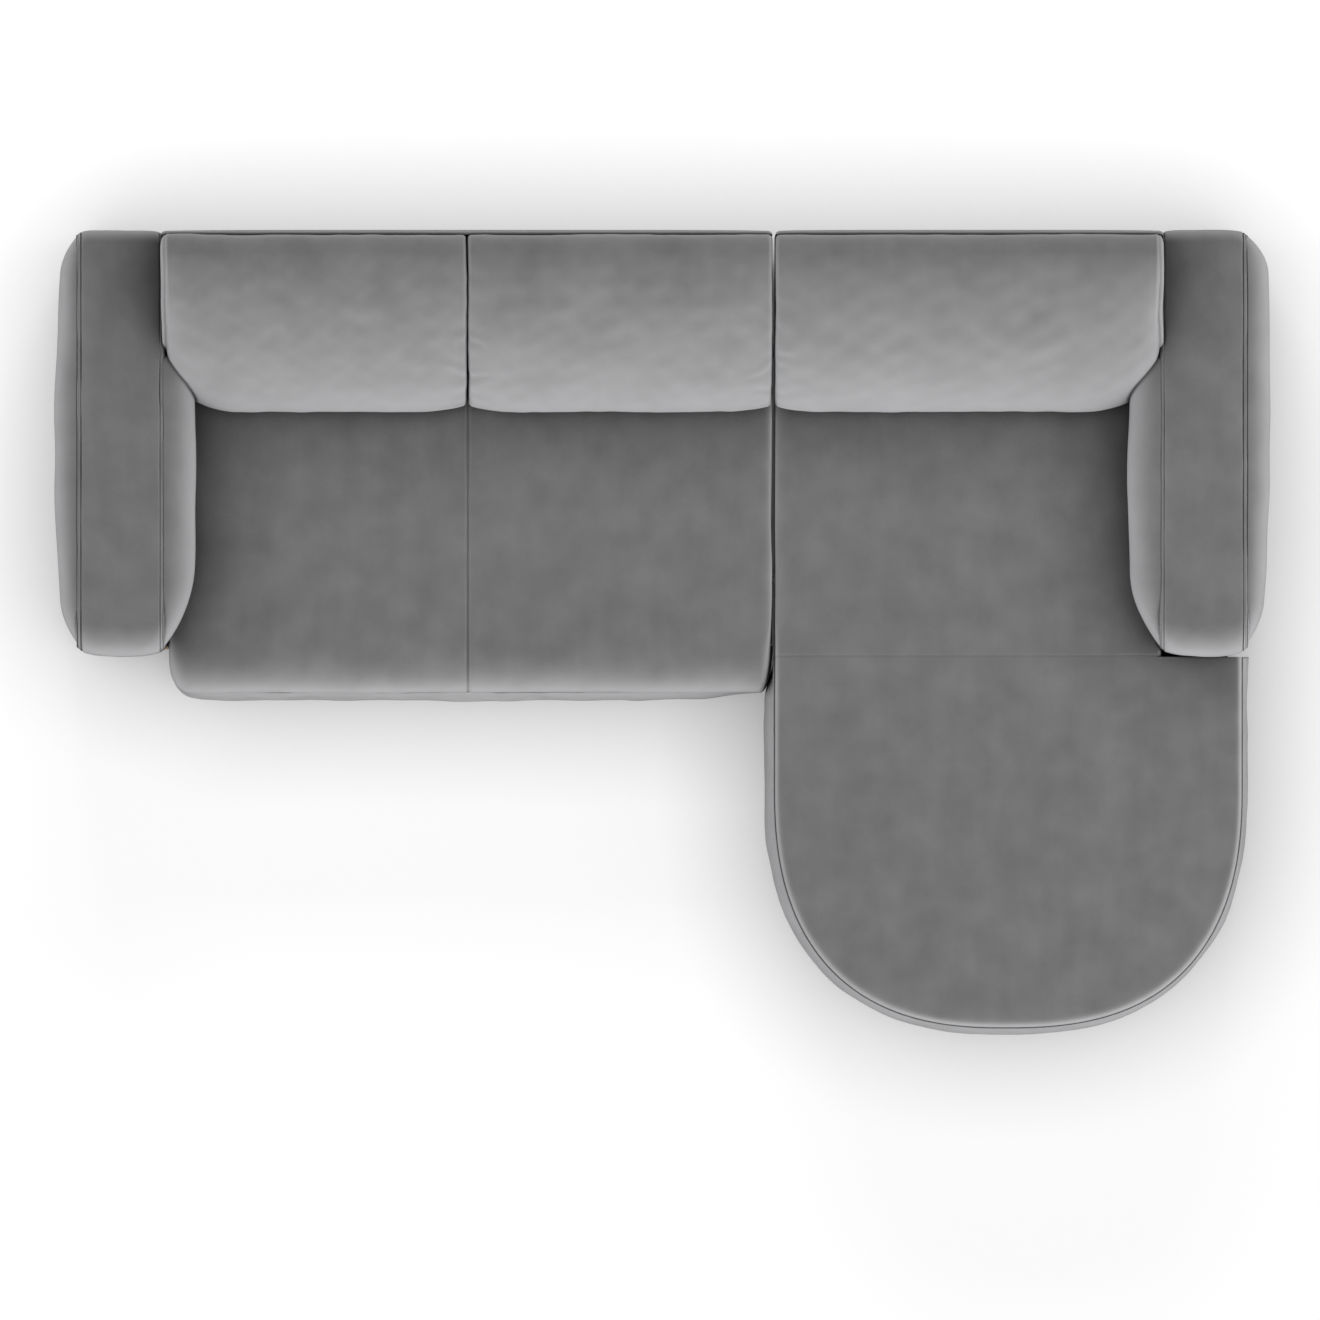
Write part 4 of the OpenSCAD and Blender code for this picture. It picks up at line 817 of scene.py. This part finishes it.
def chaise_front_top():
    """The chaise's broad front panel, held down along the welt and the cross seam."""
    low, high = box("chaise_front_cover")
    path = chaise_path()
    rear = high[1]
    middle = np.array([(low[0] + high[0]) / 2.0, rear])
    s = np.append(1.0 - np.linspace(0.0, 1.0, 90)[:-1] ** 2.0, [0.008, 0.002])
    seam_z = low[2] + CHAISE_SEAM_H
    height = seam_z + (high[2] - seam_z) * crown(s, CHAISE_EDGE)
    flat = middle + s[:, None, None] * (path - middle)[None]
    flat[..., 1] = np.minimum(flat[..., 1], rear)
    grid = np.concatenate([flat, np.broadcast_to(height[:, None, None], (*flat.shape[:2], 1))], -1)
    skirt = grid[:1].copy()
    skirt[..., 2] = low[2]
    under = closing(skirt[0], [0.9, 0.5, 0.05])
    grid = np.concatenate([under, skirt, grid])
    from_welt = 1.0 - np.concatenate([np.ones(len(under) + 1), s])
    inside = smooth(from_welt / FRONT_CALM[0])[:, None] * smooth((rear - grid[..., 1]) / FRONT_CALM[1])
    grid[..., 2] += waviness(grid, SEAT_WAVES, SEEDS["front top"]) * inside
    piece = upholster("chaise_front_top", grid, "chaise_front_cover")
    piece.data.set_sharp_from_angle(angle=math.radians(SHARP_ANGLE))


def rear_top_section(low, high, x, drop):
    """Sections of the chaise's rear panel, with its stitches and its edge at the cross seam."""
    turn_y, turn_z = CROSS_TURN
    top, bottom = high[2] - drop, np.full_like(x, low[2])
    rear, front = np.full_like(x, high[1]), np.full_like(x, low[1])
    near, edge = front + CROSS_NEAR, front + turn_y
    section = np.concatenate([
        line((rear, bottom), (rear, top), 5),
        line((rear, top), (near, top), 70),
        line((near, top), (edge, top), 24),
        arc((edge, top - turn_z), (np.full_like(x, turn_y), np.full_like(x, turn_z)), 90, 180, 8),
        line((front, top - turn_z), (front, bottom), 5)[:, 1:],
        line((front, bottom), (rear, bottom), 10),
    ], 1)
    on_top = section[..., 1] > top[:, None] - turn_z / 2.0
    depth, place, width = CROSS_STITCH
    section[..., 1] -= depth * bell(section[..., 0] - front[:, None] - place, width) * on_top
    return section, on_top


def chaise_rear_top():
    """The chaise's rear panel, between the arm and the two-seater."""
    low, high = box("chaise_rear_cover")
    end_length, end_drop = REAR_END
    x = places_with_ends(low[0], high[0], end_length, 30, 70)
    drop = end_drop * (quarter((x - low[0]) / end_length) + quarter((high[0] - x) / end_length))
    section, on_top = rear_top_section(low, high, x, drop)
    thickness = high[2] - low[2]
    from_side = np.minimum(x - low[0], high[0] - x) / ((high[0] - low[0]) / 2.0)
    front_drop = thickness * CROSS_SHARP * (1.0 - crown(1.0 - from_side, CHAISE_EDGE))
    near = 1.0 - smooth((section[..., 0] - low[1]) / CROSS_BLEND)
    share = (section[..., 1] - low[2]) / (thickness - drop)[:, None]
    section[..., 1] += share * near * (drop - front_drop)[:, None]
    grid = lay_section(x, section)
    from_joint = smooth((grid[..., 1] - low[1]) / REAR_CALM[0])
    from_back = smooth((high[1] - grid[..., 1]) / REAR_CALM[1])
    grid[..., 2] += waviness(grid, REAR_WAVES, SEEDS["rear top"]) * on_top * from_joint * from_back
    upholster("chaise_rear_top", close_sides(grid, 0.0, 0.0), "chaise_rear_cover")


def arm_section(low, high, front, top, rear, inset):
    """Side outlines of an arm: up the rear, over the top, down the front, and back underneath."""
    r_front, r_rear = ARM_ROUND
    rear_y = high[1] - ARM_REAR_CROWN + rear
    front_y = low[1] + ARM_FRONT_CROWN - front
    top_z = high[2] - ARM_TOP_CROWN + top
    bottom = np.full_like(inset, low[2])
    return np.concatenate([
        line((rear_y - inset, bottom), (rear_y - inset, top_z - r_rear), 60),
        arc((rear_y - r_rear, top_z - r_rear), (r_rear - inset, r_rear - inset), 0, 90, 20),
        line((rear_y - r_rear, top_z - inset), (front_y + r_front, top_z - inset), 130)[:, 1:],
        arc((front_y + r_front, top_z - r_front), (r_front - inset, r_front - inset), 90, 180, 40),
        line((front_y + inset, top_z - r_front), (front_y + inset, bottom), 70)[:, 1:],
        line((front_y + inset, bottom), (rear_y - inset, bottom), 20)[:, 1:],
    ], 1)


def arm_band(side, sign):
    """The band over an arm; each of its two seams is a low ridge between two lines of stitches."""
    node = side + "_arm_band"
    low, high = box(node)
    width = high[0] - low[0]
    near = np.linspace(-BAND_PAST, BAND_NEAR, 44)
    x = np.concatenate([near, between(BAND_NEAR, width - BAND_NEAR, 44), width - near[::-1]])
    d = np.minimum(x, width - x)
    outer = (x < width / 2.0) == (sign < 0)
    half, stitch_depth = np.where(outer, *SEAM_HALF), np.where(outer, *STITCH_DEPTH)
    ridge = SEAM_RISE[0] * bell(d, SEAM_RISE[1] * half)
    stitches = stitch_depth * (bell(d - half, STITCH_WIDTH) + bell(d + half, STITCH_WIDTH))
    flange_depth, flange_past, flange_slope = BAND_FLANGE
    flange = flange_depth * smooth((-d - half - flange_past) / flange_slope)
    across = 2.0 * clamp(x / width) - 1.0
    full, rear_full = crown(across, CROWN_POWERS[0]), crown(across, CROWN_POWERS[1])
    section = arm_section(low, high, ARM_FRONT_CROWN * full, ARM_TOP_CROWN * full,
                          ARM_REAR_CROWN * rear_full, stitches + flange - ridge)
    grid = soften(lay_section(low[0] + x, section), SEEDS[side + " band"], BAND_WAVES)
    upholster(side + "_arm_strip", grid, node)


def pad_outline(low, high, edge, power, q):
    """Outline of a side pad at the share q of its rounded edges; the third value is 1 at its two ends.

    It starts at the rear top and runs over the front; the edges are the depths at its rear, top,
    front and bottom.
    """
    corners = []
    for k in range(4):
        rear, top = k in (0, 3), k < 2
        r = np.array([edge[0] if rear else edge[2], edge[1] if top else edge[3]])
        centre = np.array([high[0] - r[0] if rear else low[0] + r[0],
                           high[1] - r[1] if top else low[1] + r[1]])
        unit = bow((0.0, 0.0), (1.0, 1.0), 90 * k, 90 * k + 90, 14, power[k])
        corners.append(np.c_[centre + q * r * unit, unit[:, 0] ** 2])
    points = []
    for k, corner in enumerate(corners):
        steps = 90 if k % 2 == 0 else 40
        t = np.linspace(0.0, 1.0, steps + 1)[1:-1, None]
        points += [corner, corner[-1] + (corners[(k + 1) % 4][0] - corner[-1]) * t]
    return np.concatenate(points)


def side_pad(node, base, reach, low, high, edge, power, full_y, slim, ends, stitch, seed):
    """A bulging side pad of an arm, full at the depth full_y and slimmer towards its ends.

    slim is the share of bulge lost towards the rear and the front; ends tells whether the rear
    and the front slope out like the end of a loaf (1) or turn like a half circle (0). stitch is
    how far the line of stitches lies from the seam, and its depth.
    """
    def lift(points, q):
        """How far out the points stand, as a share of the reach."""
        front = points[:, 0] < full_y
        away = np.abs((points[:, 0] - full_y) / (np.where(front, low[0], high[0]) - full_y))
        away = np.clip(away - PAD_EVEN, 0.0, None) / (1.0 - PAD_EVEN)
        lost = np.where(front, slim[1], slim[0]) * away ** PAD_SLIM_POWER
        loaf = points[:, 2] * np.where(front, ends[1], ends[0])
        return (1.0 - lost) * (loaf * (1.0 - q * q) ** LOAF_POWER + (1.0 - loaf) * math.sqrt(1.0 - q * q))

    rings = []
    turns = np.concatenate([np.linspace(0.0, PAD_FINE, 24)[:-1], np.linspace(PAD_FINE, 90.0, 28)])
    for turn in np.radians(turns):
        q = max(math.cos(turn), 0.0)
        stitched = stitch[1] / edge[1] * bell(abs(reach) * math.sin(turn) - stitch[0], STITCH_WIDTH)
        points = pad_outline(low, high, edge, power, max(q - stitched, 0.0))
        rings.append((points, lift(points, q)))
    core = rings[-1][0]
    even = even_steps(np.concatenate([core, core[:1]]), len(core) + 1)[:-1]
    middle = (core.min(0) + core.max(0)) / 2.0
    for s in between(1.0, 0.0, 28):
        spread = smooth((1.0 - s) / PAD_SPREAD)
        points = middle + s * (core + spread * (even - core) - middle)
        rings.append((points, lift(points, 0.0)))
    grid = np.stack([np.c_[base + reach * rise, points[:, :2]] for points, rise in rings])
    rises = np.stack([rise for points, rise in rings])
    grid[..., 0] += np.sign(reach) * ripple(grid, PAD_WAVE[0], seed) * PAD_WAVE[1] * rises
    back = grid[:1].copy()
    back[..., 0] = base - np.sign(reach) * PAD_BACK
    grid = np.concatenate([closing(back[0], [0.9, 0.4]), back, grid])
    upholster(node + "_soft", grid, node)


def arm(side, sign):
    """One arm: its band and its two side pads. sign is -1 on the left and 1 on the right."""
    arm_band(side, sign)
    band_low, band_high = box(side + "_arm_band")
    outer_x, inner_x = (band_low[0], band_high[0]) if sign < 0 else (band_high[0], band_low[0])
    node = side + "_arm_outer_pad"
    low, high = box(node)
    reach = max(abs(low[0]), abs(high[0])) - abs(outer_x) - OUT_SHY
    full_y = (band_low[1] + band_high[1]) / 2.0 - OUT_FULL
    shy = np.array([PAD_SHY, 0.0])
    side_pad(node, outer_x, sign * reach, low[1:] + shy, high[1:] - shy, OUT_EDGE, OUT_POWERS,
             full_y, OUT_SLIM[side], (1.0, 1.0), (SEAM_HALF[0], STITCH_DEPTH[0]),
             SEEDS["outer pad"] + sign)
    node = side + "_arm_inner_pad"
    low, high = box(node)
    reach = abs(inner_x) - min(abs(low[0]), abs(high[0]))
    half = (high[2] - low[2]) / 2.0 - IN_LEVEL
    full_y = box("back_cover_left")[0][1] - IN_FULL
    far = high[1:] + np.array([IN_PAST, 0.0])
    side_pad(node, inner_x, -sign * reach, low[1:], far, (IN_EDGE[0], half, IN_EDGE[1], half), IN_POWERS,
             full_y, IN_SLIM, (0.0, 1.0), (SEAM_HALF[1], STITCH_DEPTH[1]), SEEDS["inner pad"] + sign)


def rear_panel(node):
    """A flat padded panel over the rear of a module, rounded along its edges."""
    low, high = box(node)
    depth, power = REAR_PUFF
    spans = []
    for a, b, end_count, count in ((low[0], high[0], 14, 70), (low[2], high[2], 12, 30)):
        t = places_with_ends(a, b, REAR_NEAR, end_count, count)
        edge = 1.0 - quarter(np.minimum(t - a, b - t) / REAR_EDGE)
        spans.append((t, edge, crown(2.0 * (t - a) / (b - a) - 1.0, power)))
    (x, edge_x, full_x), (z, edge_z, full_z) = spans
    share = REAR_LEAST + (1.0 - REAR_LEAST) * edge_x[:, None] * edge_z
    outer_y = low[1] + (high[1] - depth - low[1]) * share + depth * full_x[:, None] * full_z
    outer = np.stack(np.broadcast_arrays(x[:, None], outer_y, z[None, :]), -1)
    inner = outer[:, ::-1].copy()
    inner[..., 1] = low[1]
    upholster(node + "_cloth", np.concatenate([outer, inner], 1), node)


def straight_camera():
    """A camera that looks straight down; its long lens keeps the plan almost free of perspective."""
    data = bpy.data.cameras.new("camera")
    data.sensor_width = SENSOR_WIDTH
    data.lens = SENSOR_WIDTH * (CAMERA_AT[2] - FRAME_HEIGHT_AT) / FRAME_WIDTH
    data.clip_start, data.clip_end = CLIP
    camera = bpy.data.objects.new("camera", data)
    camera.location = CAMERA_AT
    bpy.context.scene.collection.objects.link(camera)
    bpy.context.scene.camera = camera


def area_light(name, place, target, size, power, lit):
    """A soft rectangular light at a place, aimed at a target; it lights the pieces in lit."""
    data = bpy.data.lights.new(name, "AREA")
    data.shape = "RECTANGLE"
    data.size, data.size_y = size
    data.energy = power
    lamp = bpy.data.objects.new(name, data)
    lamp.location = place
    aim = Vector(target) - Vector(place)
    lamp.rotation_mode = "QUATERNION"
    lamp.rotation_quaternion = aim.to_track_quat("-Z", "Y")
    bpy.context.scene.collection.objects.link(lamp)
    lamp.light_linking.receiver_collection = lit


def seen_directly(tree):
    """1 for what the camera sees itself, in gloss or through glass, 0 for light on the sofa."""
    path = tree.nodes.new("ShaderNodeLightPath")
    rays = [path.outputs["Is " + kind + " Ray"] for kind in ("Camera", "Glossy", "Transmission")]
    return math_node(tree, "MAXIMUM", math_node(tree, "MAXIMUM", rays[0], rays[1]), rays[2])


def white_floor():
    """A floor that looks white, apart from the sofa's soft shadow round it and the dark under it."""
    mesh = bpy.data.meshes.new("floor")
    r = FLOOR_REACH
    mesh.from_pydata([(-r, -r, 0), (r, -r, 0), (r, r, 0), (-r, r, 0)], [], [(0, 1, 2, 3)])
    floor = bpy.data.objects.new("floor", mesh)
    bpy.context.scene.collection.objects.link(floor)
    material, tree, shader = principled("floor", FLOOR_SURFACE)
    near = tree.nodes.new("ShaderNodeAmbientOcclusion")
    near.inputs["Distance"].default_value = FLOOR_SHADOW
    shade = times(tree, near.outputs["AO"], FLOOR_LIFT * (1.0 - FLOOR_OPEN))
    lift = plus(tree, shade, FLOOR_LIFT * FLOOR_OPEN)
    outside = times(tree, near.outputs["AO"], FLOOR_UNDER)
    lift = times(tree, lift, math_node(tree, "MINIMUM", outside, 1.0))
    seen = times(tree, seen_directly(tree), lift)
    tree.links.new(seen, shader.inputs["Emission Strength"])
    mesh.materials.append(material)
    return floor


def surround():
    """A world that looks white, and lights the sofa most from overhead and least from low down."""
    world = bpy.data.worlds.new("surround")
    world.use_nodes = True
    tree = world.node_tree
    tree.nodes["Background"].inputs["Color"].default_value = (1.0, 1.0, 1.0, 1.0)
    place = tree.nodes.new("ShaderNodeTexCoord")
    parts = tree.nodes.new("ShaderNodeSeparateXYZ")
    tree.links.new(place.outputs["Generated"], parts.inputs[0])
    up = math_node(tree, "MAXIMUM", parts.outputs["Z"], 0.0)
    behind = math_node(tree, "MAXIMUM", parts.outputs["Y"], 0.0)
    ahead = math_node(tree, "MAXIMUM", times(tree, parts.outputs["Y"], -1.0), 0.0)
    rise = plus(tree, times(tree, up, SKY_TOP - SKY_LOW), SKY_LOW)
    rear_loss = times(tree, behind, SKY_REAR_LOSS)
    front_loss = times(tree, math_node(tree, "POWER", ahead, SKY_FRONT_POWER), SKY_FRONT_LOSS)
    kept = math_node(tree, "SUBTRACT", math_node(tree, "SUBTRACT", 1.0, rear_loss), front_loss)
    sky = times(tree, rise, math_node(tree, "MAXIMUM", kept, SKY_LEAST))
    strength = math_node(tree, "MAXIMUM", seen_directly(tree), sky)
    tree.links.new(strength, tree.nodes["Background"].inputs["Strength"])
    bpy.context.scene.world = world


def collection_of(name, pieces):
    """A collection of pieces that a light can be limited to."""
    group = bpy.data.collections.new(name)
    for piece in pieces:
        group.objects.link(piece)
    return group


def studio():
    """The floor, the surround, a soft key light on the sofa from the front right, and a floor light."""
    floor = white_floor()
    surround()
    sofa = collection_of("sofa", [piece for piece in bpy.context.scene.objects
                                  if piece.type == "MESH" and piece.name != "floor"])
    area_light("key", *KEY_LIGHT, sofa)
    area_light("floor light", *FLOOR_LIGHT, collection_of("ground", [floor]))


MATERIALS = make_materials()
dress_frame()
back_cushion("back_cover_left", True, False)
back_cushion("back_cover_middle", False, False)
back_cushion("back_cover_right", False, True)
seat_top()
seat_border()
chaise_front_top()
chaise_rear_top()
chaise_border()
chaise_welt()
arm("left", -1)
arm("right", 1)
rear_panel("seat_rear_panel")
rear_panel("chaise_rear_panel")
straight_camera()
studio()
bpy.context.scene.view_settings.view_transform = "Standard"
